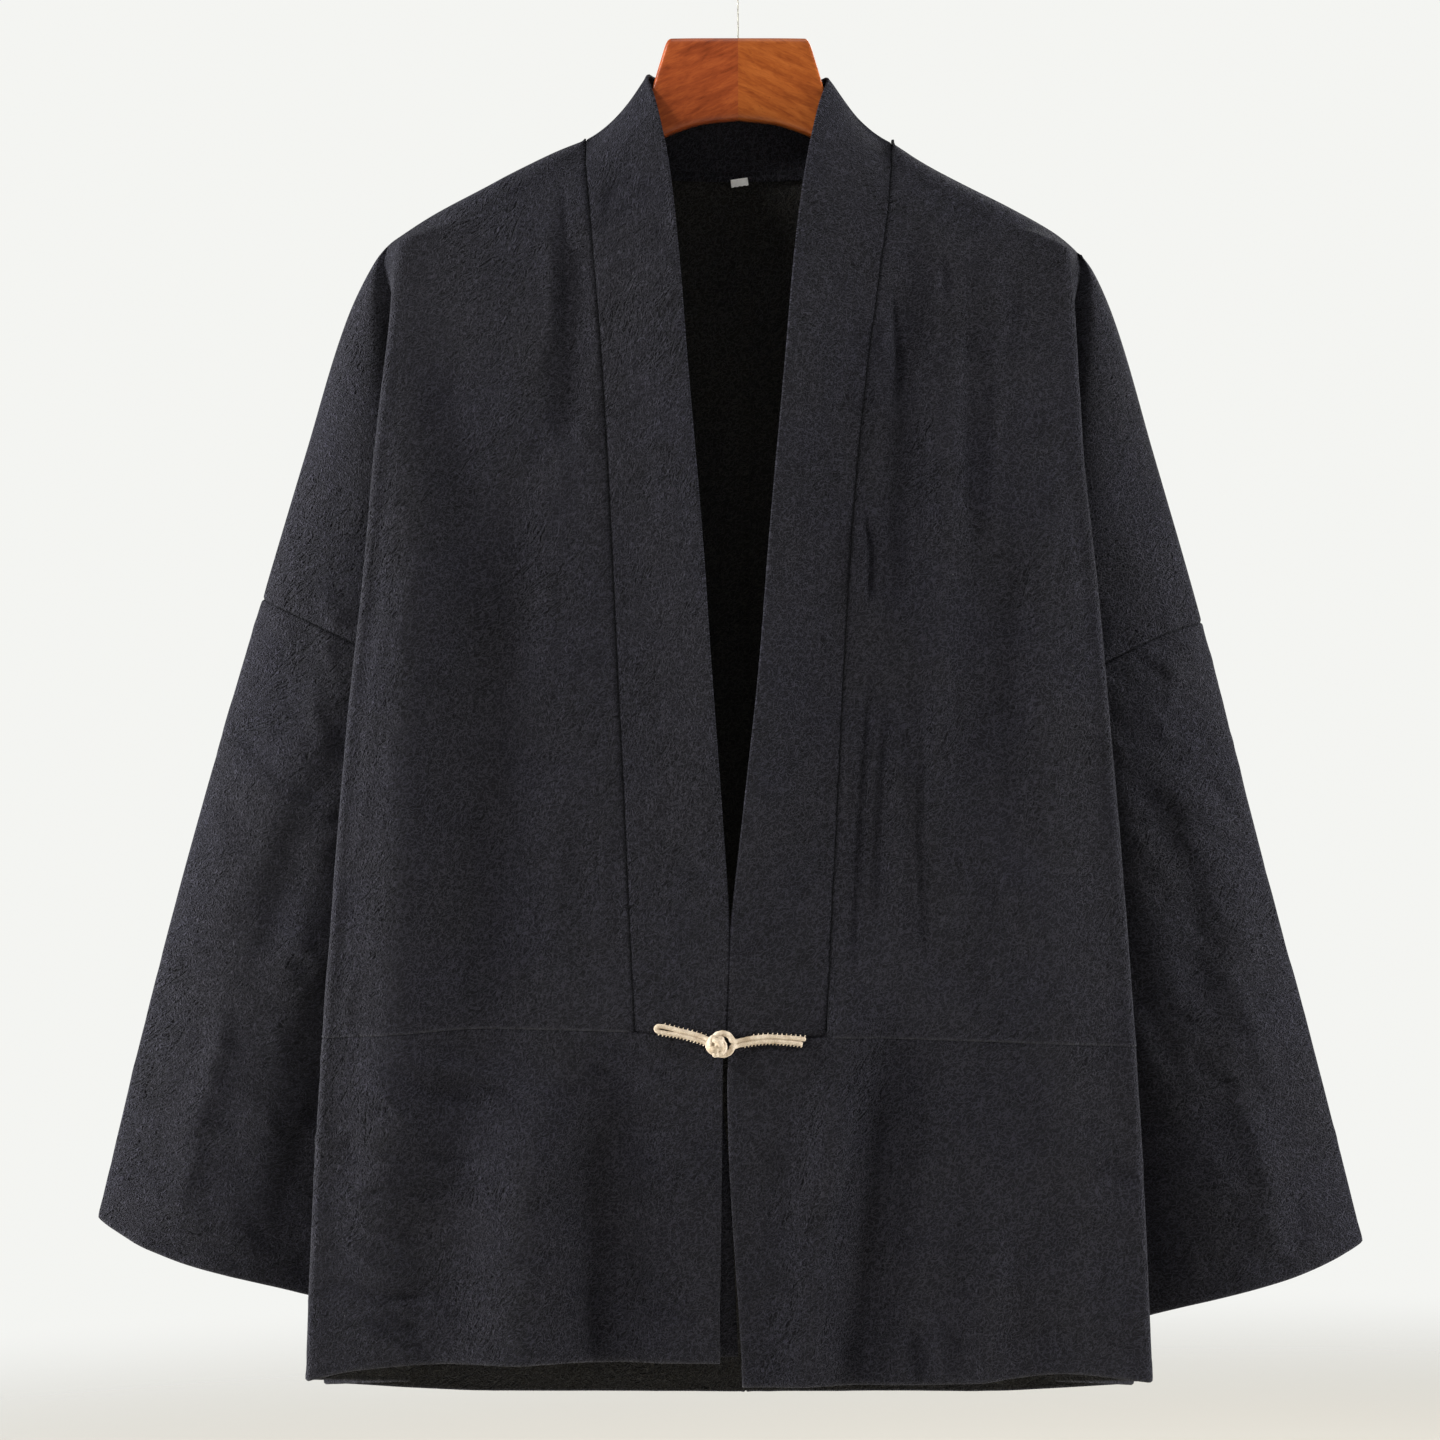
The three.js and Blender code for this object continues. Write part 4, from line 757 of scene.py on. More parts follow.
def back(side_name):
    side = SIDES[side_name]
    seed, flip = (180, False) if side_name == "right" else (220, True)

    def inner_at(z):
        if z < BACK_NECK_Z:
            return side["sign"] * BACK_SEAM_X, float(curve(DEPTHS, z, 3))
        out, y = band_line(side, "seam", z, True)
        return float(out), float(y)

    zs, points, across, inner_gap, outer_gap, armhole = upper_body(
        side_name, "back", inner_at, BACK_HEM, SIDE_HEM_Z, BACK_ROWS,
    )
    z = points[:, :, 2]
    neck = smooth((BACK_NECK_Z - 2 - z) / 10)
    relief = body_relief(side_name, "back", points, across, inner_gap, outer_gap, seed)
    relief += pucker(z, inner_gap, CENTRE_SEED)
    relief = relief * neck + (groove(inner_gap, 0.6) + groove(outer_gap, 0.5)) * smooth((-102 - z) / 8)
    hem = np.broadcast_to((zs - SIDE_HEM_Z)[:, None], z.shape)
    relief += hem_relief(hem, across, seed)
    # Painted highlight with rubbed wear on the hem's edge and along the fold.
    wear_and_painted_light = 0.2 * bell(hem, EDGE_LINE) + fold_wear_and_highlight(side, points, zs)
    allowance = np.maximum(hem_allowance(hem), smooth(3.0 - inner_gap) * neck)
    cloth = Cloth()
    cloth.add(points, side["sign"] * across, relief, flip, wear_and_painted_light=wear_and_painted_light, allowance=allowance)
    add_upper_sleeve(cloth, side_name, "back", armhole, seed + 30, flip)
    return cloth.shell(f"cloth_back_{side_name}", CLOTH, CLOTHS)


def lower_front(side_name):
    side = SIDES[side_name]
    seed, flip = (300, True) if side_name == "right" else (340, False)
    span = 206.0
    drops = np.concatenate([LAP, spread(0, span, LOWER_ROWS)])
    zs = SIDE_WAIST_Z - drops * (SIDE_WAIST_Z - SIDE_HEM_Z) / span

    def height_for(i):
        return lambda out, turned, fold_out: lerp(
            edge_z(side["waist"], fold_out, SIDE_WAIST_Z, out, turned),
            edge_z(side["front_hem"], fold_out, SIDE_HEM_Z, out, turned),
            drops[i] / span,
        )

    points, across, inner_gap, outer_gap = body_block(
        side_name, "front", zs, lambda z: (float(curve(side["front_edge"], z)), 0.0), height_for,
    )
    waist_gap = np.broadcast_to(drops[:, None], across.shape)
    hem = span - waist_gap
    relief = body_relief(
        side_name, "front", points, across, inner_gap + 5, outer_gap, seed, LOWER_CREASES[side_name],
    )
    relief *= clear_of(waist_gap)
    relief += pucker(across, np.abs(waist_gap), WAIST_SEED) + groove(outer_gap, 0.5)
    relief += lapped(waist_gap, 2.1, 0.3, 1.0, 1.8, 0.3)
    relief += hem_relief(hem, across, seed) + groove(inner_gap, 0.3, 1.5)
    # Painted highlight with rubbed wear on the hem, the front edge and along the fold.
    wear_and_painted_light = 0.28 * bell(hem, EDGE_LINE) + 0.16 * bell(inner_gap, EDGE_LINE) + fold_wear_and_highlight(side, points, zs)
    cloth = Cloth()
    cloth.add(points, side["sign"] * across, relief, flip, wear_and_painted_light=wear_and_painted_light, allowance=hem_allowance(hem))
    return cloth.shell(f"cloth_lower_front_{side_name}", CLOTH, CLOTHS)


def sleeve(side_name):
    side = SIDES[side_name]
    seam, cuff = side["sleeve_seam"], side["cuff"]
    seed, flip = (400, True) if side_name == "right" else (440, False)
    span = seam["under_z"] - cuff["under_z"]
    drops = np.concatenate([LAP, spread(0, span, SLEEVE_ROWS)])
    points, across = [], []
    for d in drops:
        t = d / span
        inner = (lerp(seam["under_out"], cuff["under_out"], t), seam["under_z"] - d, 0.0)
        outer_z = lerp(seam["top_z"], cuff["top_z"], t)
        outer = (float(curve(side["crest"], outer_z)), outer_z)
        bow = lerp(seam["bow"], cuff["bow"], t)
        (before, run), (behind, _) = (sleeve_row(side, face, inner, outer, bow) for face in ("front", "back"))
        for row in (before, behind):
            row[[0, -1], 1] = 0
        points.append(np.concatenate([before, behind[::-1][1:]]))
        across.append(np.concatenate([run, (2 * run[-1] - run[::-1])[1:]]))
    points, across = np.stack(points), np.stack(across)
    z = points[:, :, 2]
    along = np.broadcast_to(drops[:, None], z.shape)
    width = across[:, -1:] / 2
    folded = width - np.abs(across - width)
    under = np.minimum(across, 2 * width - across)
    creases = SLEEVE_CREASES[side_name]
    relief = sleeve_crinkle(across, z, seed) + SLEEVE_RISE * np.where(
        across > width, crease_height(folded * 0.96 + 6, z + 14, creases), crease_height(folded, z, creases),
    )
    relief *= clear_of(along) * clear_of(under) * (0.3 + 0.7 * smooth((width - folded) / 16))
    relief += pucker(folded, np.abs(along), SLEEVE_SEED) + groove(under, 0.45)
    relief += lapped(along, 1.25, 0.5, 1.0, 0.75, 0.35)
    relief += hem_relief(span - along, across, seed, CUFF_TURNED)
    u, v = turned_places(side, across, z)
    # Painted highlight with rubbed wear on the cuff's edge; painted shadow with soil in the sleeve seam.
    wear_and_painted_light = 0.22 * bell(span - along, EDGE_LINE) - 0.8 * bell(along, SEAM_LINE)
    cloth = Cloth()
    cloth.add(points, u, relief, flip, v, wear_and_painted_light, hem_allowance(span - along, CUFF_TURNED))
    return cloth.shell(f"cloth_sleeve_{side_name}", CLOTH, CLOTHS)


def catmull(points, k, f):
    """A point of the centripetal curve through points, on the span k at the share f."""
    p = [points[max(k - 1, 0)], points[k], points[k + 1], points[min(k + 2, len(points) - 1)]]
    if k == 0:
        p[0] = 2 * p[1] - p[2]
    if k + 2 > len(points) - 1:
        p[3] = 2 * p[2] - p[1]
    dt = [max(1e-4, np.linalg.norm(p[i + 1] - p[i])) ** 0.5 for i in range(3)]
    m1 = ((p[1] - p[0]) / dt[0] - (p[2] - p[0]) / (dt[0] + dt[1]) + (p[2] - p[1]) / dt[1]) * dt[1]
    m2 = ((p[2] - p[1]) / dt[1] - (p[3] - p[1]) / (dt[1] + dt[2]) + (p[3] - p[2]) / dt[2]) * dt[1]
    return hermite(p[1], p[2], m1, m2, f)


def band_rows(side_name):
    """Points along the band's seam and its free edge, from the waist to the back's middle."""
    side = SIDES[side_name]
    table = side["band"] + [BAND_CENTRE]
    edges = [np.array([side["sign"] * s[3], s[5], s[4]], float) for s in table]
    rows = []
    for k in range(len(table) - 1):
        steps = max(4, round(math.dist(table[k][:3], table[k + 1][:3]) / BAND_STATION))
        for f in np.arange(steps) / steps:
            z = lerp(table[k][1], table[k + 1][1], f)
            out, y = band_line(side, "seam", z, k >= FRONT_STATIONS - 1)
            rows.append((np.array([side["sign"] * float(out), float(y), z]), catmull(edges, k, f)))
    return rows


def band():
    middle = (np.array([0, BAND_CENTRE[2], BAND_CENTRE[1]]), np.array([0, BAND_CENTRE[5], BAND_CENTRE[4]]))
    stations = band_rows("right") + [middle] + band_rows("left")[::-1]
    seams = np.array([s[0] for s in stations])
    run = np.concatenate([[0], np.cumsum(np.linalg.norm(np.diff(seams, axis=0), axis=1))])
    points, across = [], []
    for seam, edge in stations:
        width = np.linalg.norm(edge - seam)
        d = np.concatenate([BAND_LAP, spread(0, width, 18)])
        points.append(seam + (edge - seam) * (d / width)[:, None])
        across.append(d)
    points, across = np.stack(points), np.stack(across)
    width = across[:, -1:]
    along = np.broadcast_to(run[:, None], across.shape)
    seam_z = points[:, :1, 2]
    relief = 0.55 * crinkle(along, across * 1.6, 500) + 0.3 * noise(along / 42, across / 30, 507)
    relief += BAND_RISE * crease_height(across, -along, BAND_CREASES)
    relief *= clear_of(np.abs(across)) * clear_of(width - across, 5)
    relief += pucker(np.broadcast_to(seam_z, across.shape), np.abs(across), BAND_SEED, 0.2)
    relief += lapped(across, 1.35, 0.8, 1.1, 0.5, 0.4)
    relief += groove(np.minimum(along, run[-1] - along), 0.5, 1.2)
    on_front = smooth((-150 - seam_z) / 60) * smooth((seam_z + 585) / 50)
    relief += BAND_TILT * on_front * smooth(across / width)
    at_neck = bell(points[:, :1, 1], 15) * (seam_z > -180)
    relief -= COLLAR_HOLLOW * at_neck * np.sin(np.pi * np.clip(across / width, 0, 1) ** 0.8)
    cloth = Cloth()
    # The last value darkens the seam: painted shadow with soil.
    cloth.add(points, across + BAND_START, relief, True, along, -0.75 * bell(across, SEAM_LINE))
    return cloth.shell("cloth_band", BAND, CLOTHS[:1], seam_planes=False)


def facing():
    zs = np.linspace(FACING[0][0], FACING[-1][0], 90)
    u = np.concatenate([np.linspace(0, 0.9, 9), [0.94, 0.97, 0.99, 1.0]])
    x = curve(FACING, zs)[:, None] - FACING_WIDTH * (1 - u)[None]
    y = np.broadcast_to(curve(FACING, zs, 2)[:, None], x.shape)
    z = np.broadcast_to(zs[:, None], x.shape)
    cloth = Cloth()
    cloth.add(np.stack([x, y, z], 2), x, 0.35 * crinkle(x, z, 520), False)
    return cloth.shell("cloth_facing", CLOTH, CLOTHS, seam_planes=False)


# ---- Materials ----
def rgba(colour):
    """A socket's colour from a grey level or from three values."""
    return (*colour, 1) if isinstance(colour, tuple) else (colour, colour, colour, 1)


class Graph:
    """A small helper that makes shader nodes and links them."""

    def __init__(self, name):
        self.material = bpy.data.materials.new(name)
        self.material.use_nodes = True
        self.tree = self.material.node_tree
        self.space = self.node("ShaderNodeTexCoord").outputs["Object"]

    def node(self, kind, inputs=None, **settings):
        made = self.tree.nodes.new(kind)
        for key, value in settings.items():
            setattr(made, key, value)
        self.set(made, inputs or {})
        return made

    def set(self, made, inputs):
        for key, value in inputs.items():
            socket = made.inputs[key]
            if isinstance(value, bpy.types.NodeSocket):
                self.tree.links.new(value, socket)
            else:
                socket.default_value = value

    def finish(self, **inputs):
        """Sets the shader's sockets, whose names have _ for a space, and returns the material."""
        inputs = {key.replace("_", " "): value for key, value in inputs.items()}
        self.set(self.tree.nodes["Principled BSDF"], inputs)
        return self.material

    def attribute(self, name, output):
        return self.node("ShaderNodeAttribute", attribute_name=name).outputs[output]

    def math(self, operation, a, b=0.0):
        return self.node("ShaderNodeMath", {0: a, 1: b}, operation=operation).outputs[0]

    def total(self, *terms):
        """The sum of values, each times its weight."""
        parts = [self.math("MULTIPLY", value, weight) for value, weight in terms]
        while len(parts) > 1:
            parts[:2] = [self.math("ADD", parts[0], parts[1])]
        return parts[0]

    def mix(self, factor, a, b, blend_type="MIX"):
        inputs = {"Factor": factor, 6: a, 7: b}
        return self.node("ShaderNodeMix", inputs, data_type="RGBA", blend_type=blend_type).outputs[2]

    def ramp(self, factor, *stops):
        made = self.node("ShaderNodeValToRGB", {"Fac": factor})
        while len(made.color_ramp.elements) < len(stops):
            made.color_ramp.elements.new(0.5)
        for element, (position, colour) in zip(made.color_ramp.elements, stops):
            element.position, element.color = position, rgba(colour)
        return made.outputs["Color"]

    def fade(self, value, start, end):
        """1 up to start, smoothly down to 0 at end."""
        inputs = {"Value": value, "From Min": start, "From Max": end, "To Min": 1.0, "To Max": 0.0}
        return self.node("ShaderNodeMapRange", inputs, interpolation_type="SMOOTHSTEP").outputs["Result"]

    def noise(self, vector, scale, detail=2.0, roughness=0.5, distortion=0.0):
        inputs = {"Vector": vector, "Scale": scale, "Detail": detail, "Roughness": roughness}
        inputs["Distortion"] = distortion
        return self.node("ShaderNodeTexNoise", inputs).outputs["Fac"]

    def ridges(self, vector, scale, distortion):
        """0 along winding lines, and higher away from them."""
        return self.math("ABSOLUTE", self.math("SUBTRACT", self.noise(vector, scale, 1.0, 0.4, distortion), 0.5))

    def wave(self, vector, way, scale, **inputs):
        inputs = {key.replace("_", " "): value for key, value in inputs.items()}
        inputs |= {"Vector": vector, "Scale": scale}
        return self.node("ShaderNodeTexWave", inputs, bands_direction=way).outputs["Fac"]

    def turned(self, vector, axis, degrees, stretch, start=0):
        """Coordinates turned about Y (1) or Z (2) and drawn out along their first axis."""
        rotation = [0, 0, 0]
        rotation[axis] = math.radians(degrees)
        inputs = {"Vector": vector, "Location": (start, start, 0), "Rotation": rotation}
        inputs["Scale"] = (stretch, 1.0, 1.0)
        return self.node("ShaderNodeMapping", inputs, vector_type="TEXTURE").outputs["Vector"]

    def bump(self, height, distance, strength=1.0):
        inputs = {"Height": height, "Distance": distance, "Strength": strength}
        return self.node("ShaderNodeBump", inputs).outputs["Normal"]


GRAIN, CREPE, THREAD_X, THREAD_Y = 1000, 450, 420.0, 390.0  # scales of the cloth's patterns, per metre
CREPE_TURN, CREPE_STRETCH, CREPE_LINE = 38, 1.4, 0.07
CLOTH_BUMP = 0.0042
# Colours of painted shadow with soil in seams, and of rubbed wear with painted highlight on edges.
SEAM_SOIL_AND_SHADOW = (0.0015, 0.0015, 0.002)
WORN_AND_HIGHLIGHT = (0.085, 0.084, 0.094)


def hairlines(g, place, lean, scale, seed):
    """Thin broken crinkle lines of crepe that rise at lean degrees, in patches."""
    field = g.ridges(g.turned(place, 2, lean, 4.5, seed), scale, 0.5)
    patches = g.ramp(g.noise(place, 15 + seed / 10), (0.47, 0), (0.6, 1))
    return g.math("MULTIPLY", g.ramp(field, (0.0, 1), (0.05, 0)), patches)


def cloth_material(name, dark, light, speck):
    """Crepe: a pebbled grain, two slants of hairline crinkles, edges lighter with rubbed wear and painted
    highlights, and seams darker with soil and painted shadow.
    """
    g = Graph(name)
    place, wear_and_painted_light = g.attribute("cloth", "Vector"), g.attribute("wear_and_painted_light", "Fac")
    grain = g.noise(place, GRAIN, 1.0)
    crepe = g.fade(g.ridges(g.turned(place, 2, CREPE_TURN, CREPE_STRETCH), CREPE, 0.7), 0.0, CREPE_LINE)
    patch = g.noise(g.space, 22, 3.0, 0.6)
    thread = g.math("MULTIPLY", *(
        g.wave(place, way, scale, Distortion=2.2, Detail=2.0, Detail_Scale=1.4)
        for way, scale in (("X", THREAD_X), ("Y", THREAD_Y))
    ))
    lines = g.math("MAXIMUM", hairlines(g, place, 34, 260, 21), hairlines(g, place, 64, 210, 34))
    # The tone follows the relief: raised crepe and grain are lighter and hairline troughs darker, a painted
    # highlight and painted shade of the crinkles besides the cloth's own uneven tone.
    tone = g.total((grain, 0.3), (crepe, 0.26), (patch, 0.06), (lines, -0.09))
    tint = g.ramp(g.noise(g.space, 17, 3.0, 0.6), (0.38, (0.95, 0.955, 1.0)), (0.62, (1.0, 0.995, 0.935)))
    colour = g.mix(1.0, g.ramp(tone, (0.13, dark), (0.39, light)), tint, "MULTIPLY")
    uneven = g.ramp(g.noise(place, 140), (0.3, 0.35), (0.6, 1))
    # Edges are mixed lighter, as rubbed wear and a painted highlight; seams are mixed darker, as soil and a painted
    # shadow.
    colour = g.mix(g.math("MULTIPLY", wear_and_painted_light, uneven), colour, rgba(WORN_AND_HIGHLIGHT))
    colour = g.mix(g.math("MULTIPLY", wear_and_painted_light, -1.0), colour, rgba(SEAM_SOIL_AND_SHADOW))
    lint = g.node("ShaderNodeTexVoronoi", {"Vector": place, "Scale": 150.0}).outputs["Distance"]
    rare = g.ramp(g.noise(place, 90, 1.0), (0.68, 0), (0.74, 1))
    colour = g.mix(g.math("MULTIPLY", g.ramp(lint, (0.05, 1), (0.1, 0)), rare), colour, rgba(speck))
    height = g.total((crepe, 1.1), (grain, 0.9), (thread, 0.12), (lines, -0.8))
    return g.finish(
        Base_Color=colour, Roughness=g.ramp(grain, (0.3, 0.82), (0.7, 0.97)), Normal=g.bump(height, CLOTH_BUMP),
        Specular_IOR_Level=0.12, Sheen_Weight=0.06, Sheen_Roughness=0.45, Sheen_Tint=(0.6, 0.62, 0.75, 1),
    )


def frog_material():
    g = Graph("frog_cotton")
    thread = g.noise(g.space, 1500, 3.0, 0.7)
    tone = g.total((thread, 0.5), (g.noise(g.space, 160), 0.5))
    return g.finish(
        Base_Color=g.ramp(tone, (0.36, (0.36, 0.27, 0.175)), (0.64, (0.74, 0.64, 0.51))),
        Roughness=g.ramp(thread, (0.3, 0.7), (0.7, 0.9)), Normal=g.bump(thread, 0.0003, 0.8),
        Specular_IOR_Level=0.25, Sheen_Weight=0.1, Sheen_Tint=(1, 0.93, 0.8, 1),
    )


def tab_material():
    g = Graph("white_tape")
    soil = g.noise(g.space, 500)
    return g.finish(
        Base_Color=g.ramp(soil, (0.3, (0.85, 0.85, 0.83)), (0.6, (0.95, 0.95, 0.94))),
        Roughness=g.ramp(soil, (0.3, 0.6), (0.7, 0.8)), Specular_IOR_Level=0.3,
        Normal=g.bump(g.wave(g.space, "Z", 700.0, Distortion=0.6), 0.00008, 0.7),
    )


def wood_material(name, lean, dark, middle, light):
    g = Graph(name)
    turned = g.turned(g.space, 1, lean, 5.0)
    grain = g.noise(turned, 520, 6.0, 0.66, 0.8)
    tone = g.total((grain, 0.5), (g.noise(turned, 120, 3.0, 0.55, 1.2), 0.5))
    pores = g.ramp(g.noise(turned, 1400, 2.0, 0.6), (0.62, 0), (0.72, 0.5))
    return g.finish(
        Base_Color=g.mix(pores, g.ramp(tone, (0.32, dark), (0.5, middle), (0.68, light)), rgba(dark)),
        Roughness=g.ramp(grain, (0.3, 0.32), (0.7, 0.45)), Normal=g.bump(grain, 0.0001, 0.35),
        Coat_Weight=0.12, Coat_Roughness=0.15, Specular_IOR_Level=0.15,
    )


def steel_material():
    g = Graph("wire_steel")
    streak = g.noise(g.space, 900, 3.0)
    return g.finish(
        Base_Color=g.ramp(streak, (0.3, (0.2, 0.19, 0.16)), (0.7, (0.36, 0.35, 0.3))), Metallic=1.0,
        Roughness=g.ramp(streak, (0.3, 0.25), (0.7, 0.42)), Normal=g.bump(streak, 0.00003, 0.5),
    )


CLOTHS = [
    cloth_material("jacket_cloth", (0.0035, 0.0033, 0.0054), (0.0325, 0.031, 0.044), (0.12, 0.12, 0.13)),
    cloth_material("jacket_cloth_inside", (0.013, 0.012, 0.0102), (0.046, 0.043, 0.037), (0.04, 0.04, 0.04)),
]
FROG_COTTON = [frog_material()]


# ---- Tubes ----
def resample(points, step):
    """A smooth curve through points, as evenly spaced points."""
    p = [np.asarray(q, float) for q in points]
    fine = np.array([catmull(p, k, f) for k in range(len(p) - 1) for f in np.arange(16) / 16] + [p[-1]])
    run = np.concatenate([[0], np.cumsum(np.linalg.norm(np.diff(fine, axis=0), axis=1))])
    at = np.linspace(0, run[-1], max(4, round(run[-1] / step)) + 1)
    return np.stack([np.interp(at, run, fine[:, k]) for k in range(3)], 1)


def ring_faces(rings, sides, closed=False):
    """Quads between rings of points, with flat ends unless the last ring joins the first."""
    faces = []
    for i in range(rings if closed else rings - 1):
        a, b = i * sides, (i + 1) % rings * sides
        for j in range(sides):
            k = (j + 1) % sides
            faces.append([a + j, a + k, b + k, b + j])
    if not closed:
        faces.append(list(range(sides))[::-1])
        faces.append([(rings - 1) * sides + j for j in range(sides)])
    return faces


def tube(path, radius, closed=False, sides=16, up=(0, -1, 0), ribs=0.0, twist=0.55, taper=False, press=(1, 1)):
    """A cord along a path. ribs is the share of the radius its twist rises by, and press its width and height."""
    tangents = np.roll(path, -1, 0) - np.roll(path, 1, 0) if closed else np.gradient(path, axis=0)
    tangents /= np.linalg.norm(tangents, axis=1)[:, None]
    across = np.cross(tangents, np.asarray(up, float))
    across /= np.maximum(1e-6, np.linalg.norm(across, axis=1))[:, None]
    over = np.cross(across, tangents)
    run = np.concatenate([[0], np.cumsum(np.linalg.norm(np.diff(path, axis=0), axis=1))])
    angles = np.arange(sides) * 2 * np.pi / sides
    radius = np.broadcast_to(radius, len(path))
    r = radius[:, None] * (1 + ribs * np.cos(4 * angles[None] - run[:, None] / twist))
    if taper:
        near = np.minimum(run, run[-1] - run)
        r *= np.sqrt(np.clip(1 - (1 - np.clip(near / radius, 0, 1)) ** 2, 0.02, 1))[:, None]
    ring = across[:, None] * (press[0] * np.cos(angles))[None, :, None]
    ring = ring + over[:, None] * (press[1] * np.sin(angles))[None, :, None]
    return (path[:, None] + ring * r[:, :, None]).reshape(-1, 3), ring_faces(len(path), sides, closed)


def make_joined(name, parts, materials):
    vertices, faces, count = [], [], 0
    for v, f in parts:
        vertices.append(v)
        faces += [[count + i for i in face] for face in f]
        count += len(v)
    return make_object(name, np.concatenate(vertices), faces, materials)


# ---- Frog ----
KNOT_X, KNOT_Z, KNOT_RISE = -13.0, -638.6, 10.2
KNOT_RADIUS, KNOT_WEAVE, KNOT_CORD, KNOT_CORE = 4.7, 0.6, 1.75, 4.3
KNOT_TURNS, KNOT_BIGHTS, KNOT_REACH = 3, 4, 62
LOOP_X, LOOP_Z, LOOP_RADIUS, LOOP_OPENING = -9.4, -638.2, 6.3, 0.27
KNOT_TAIL = [(-47.2, -629.4), (-34, -632), (-20.6, -635.6)]
LOOP_TAIL = [(-1.2, -638), (8, -636.2), (17, -635.4), (29, -636), (39.4, -637)]
STRAND_OFFSET, STRAND_LIFT = CORD / 2 - 0.1, 0.1
CORD_STEP, CORD_RIBS = 0.3, 0.055
LONG_STITCH, SHORT_STITCH = (7, 0.42), (9, 0.3)  # spacing in steps of the cord, and thickness


def front_y(x, z):
    side_name = "right" if x < -7 else "left"
    out = np.array(SIDES[side_name]["sign"] * x, float)
    return -float(front_depth(side_name, out, z)) - float(fold_height(side_name, "front", out, z))


def strand(tail, side, end_gap=0.0):
    """One of a tail's two cords, on the side +1 or -1, which part by end_gap at its last point."""
    points = []
    for i, (px, pz) in enumerate(tail):
        offset = side * (STRAND_OFFSET + (end_gap if i == len(tail) - 1 else 0))
        a, b = tail[max(0, i - 1)], tail[min(len(tail) - 1, i + 1)]
        length = math.hypot(b[0] - a[0], b[1] - a[1])
        x = px - (b[1] - a[1]) / length * offset
        z = pz + (b[0] - a[0]) / length * offset
        points.append((x, front_y(x, z) - STRAND_LIFT - CORD / 2, z))
    return points


def stitches(path, spacing, size):
    """Small hand stitches over the outer edge of a cord, down into the cloth."""
    parts = []
    for k, i in enumerate(range(2, len(path) - 3, spacing)):
        p, t = path[i], path[i + 1] - path[i]
        t /= np.linalg.norm(t)
        out = np.cross(t, (0, -1, 0))
        out /= np.linalg.norm(out)
        low = p + out * (CORD / 2 + 0.7) + np.array([0, CORD / 2 + 0.2, 0])
        mid = p + out * (CORD / 2 + 0.4) + t * 0.15
        top = p + out * 0.75 - np.array([0, CORD / 2 * 0.9, 0]) + t * (0.5 + 0.1 * math.sin(7.0 * k))
        parts.append(tube(resample([low, mid, top], 0.35), size, sides=6, taper=True, up=(0.3, 0.2, 1)))
    return parts


def frog_tail():
    upper, lower = strand(KNOT_TAIL, 1), strand(KNOT_TAIL, -1)
    end = (np.array(upper[0]) + np.array(lower[0])) / 2
    end[0] -= 1.1
    start, finish = (-14.5, upper[-1][1] - 1.5, -637.4), (-15, lower[-1][1] - 1.0, -640.4)
    path = resample([start] + upper[::-1] + [end] + lower + [finish], CORD_STEP)
    half = len(path) // 2
    parts = [tube(path, CORD / 2, ribs=CORD_RIBS)]
    parts += stitches(path[half + 8 :], *LONG_STITCH) + stitches(path[: half - 14], *SHORT_STITCH)
    return make_joined("frog_cord_tail", parts, FROG_COTTON)


def frog_loop():
    y = front_y(LOOP_X, LOOP_Z) - 1.4 - CORD / 2
    ring = []
    for i in range(15):
        angle = lerp(LOOP_OPENING, 2 * math.pi - LOOP_OPENING, i / 14)
        ring.append((LOOP_X + LOOP_RADIUS * math.cos(angle), y, LOOP_Z + LOOP_RADIUS * math.sin(angle)))
    upper, lower = strand(LOOP_TAIL, 1, 0.1)[::-1], strand(LOOP_TAIL, -1, 0.1)
    lower[-1] = (lower[-1][0] - 1.6, *lower[-1][1:])
    path = resample(upper + ring + lower, CORD_STEP)
    from_ring = np.hypot(path[:, 0] - LOOP_X, path[:, 2] - LOOP_Z) - LOOP_RADIUS
    parts = [tube(path, lerp(RING_CORD, CORD, smooth(from_ring / 3)) / 2, ribs=CORD_RIBS, taper=True)]
    parts += stitches(path[-118:], *LONG_STITCH) + stitches(path[:110], *SHORT_STITCH)
    return make_joined("frog_cord_loop", parts, FROG_COTTON)


def turn(degrees, i, j):
    """A rotation in the plane of two axes."""
    matrix, angle = np.eye(3), math.radians(degrees)
    matrix[i, i] = matrix[j, j] = math.cos(angle)
    matrix[i, j], matrix[j, i] = -math.sin(angle), math.sin(angle)
    return matrix


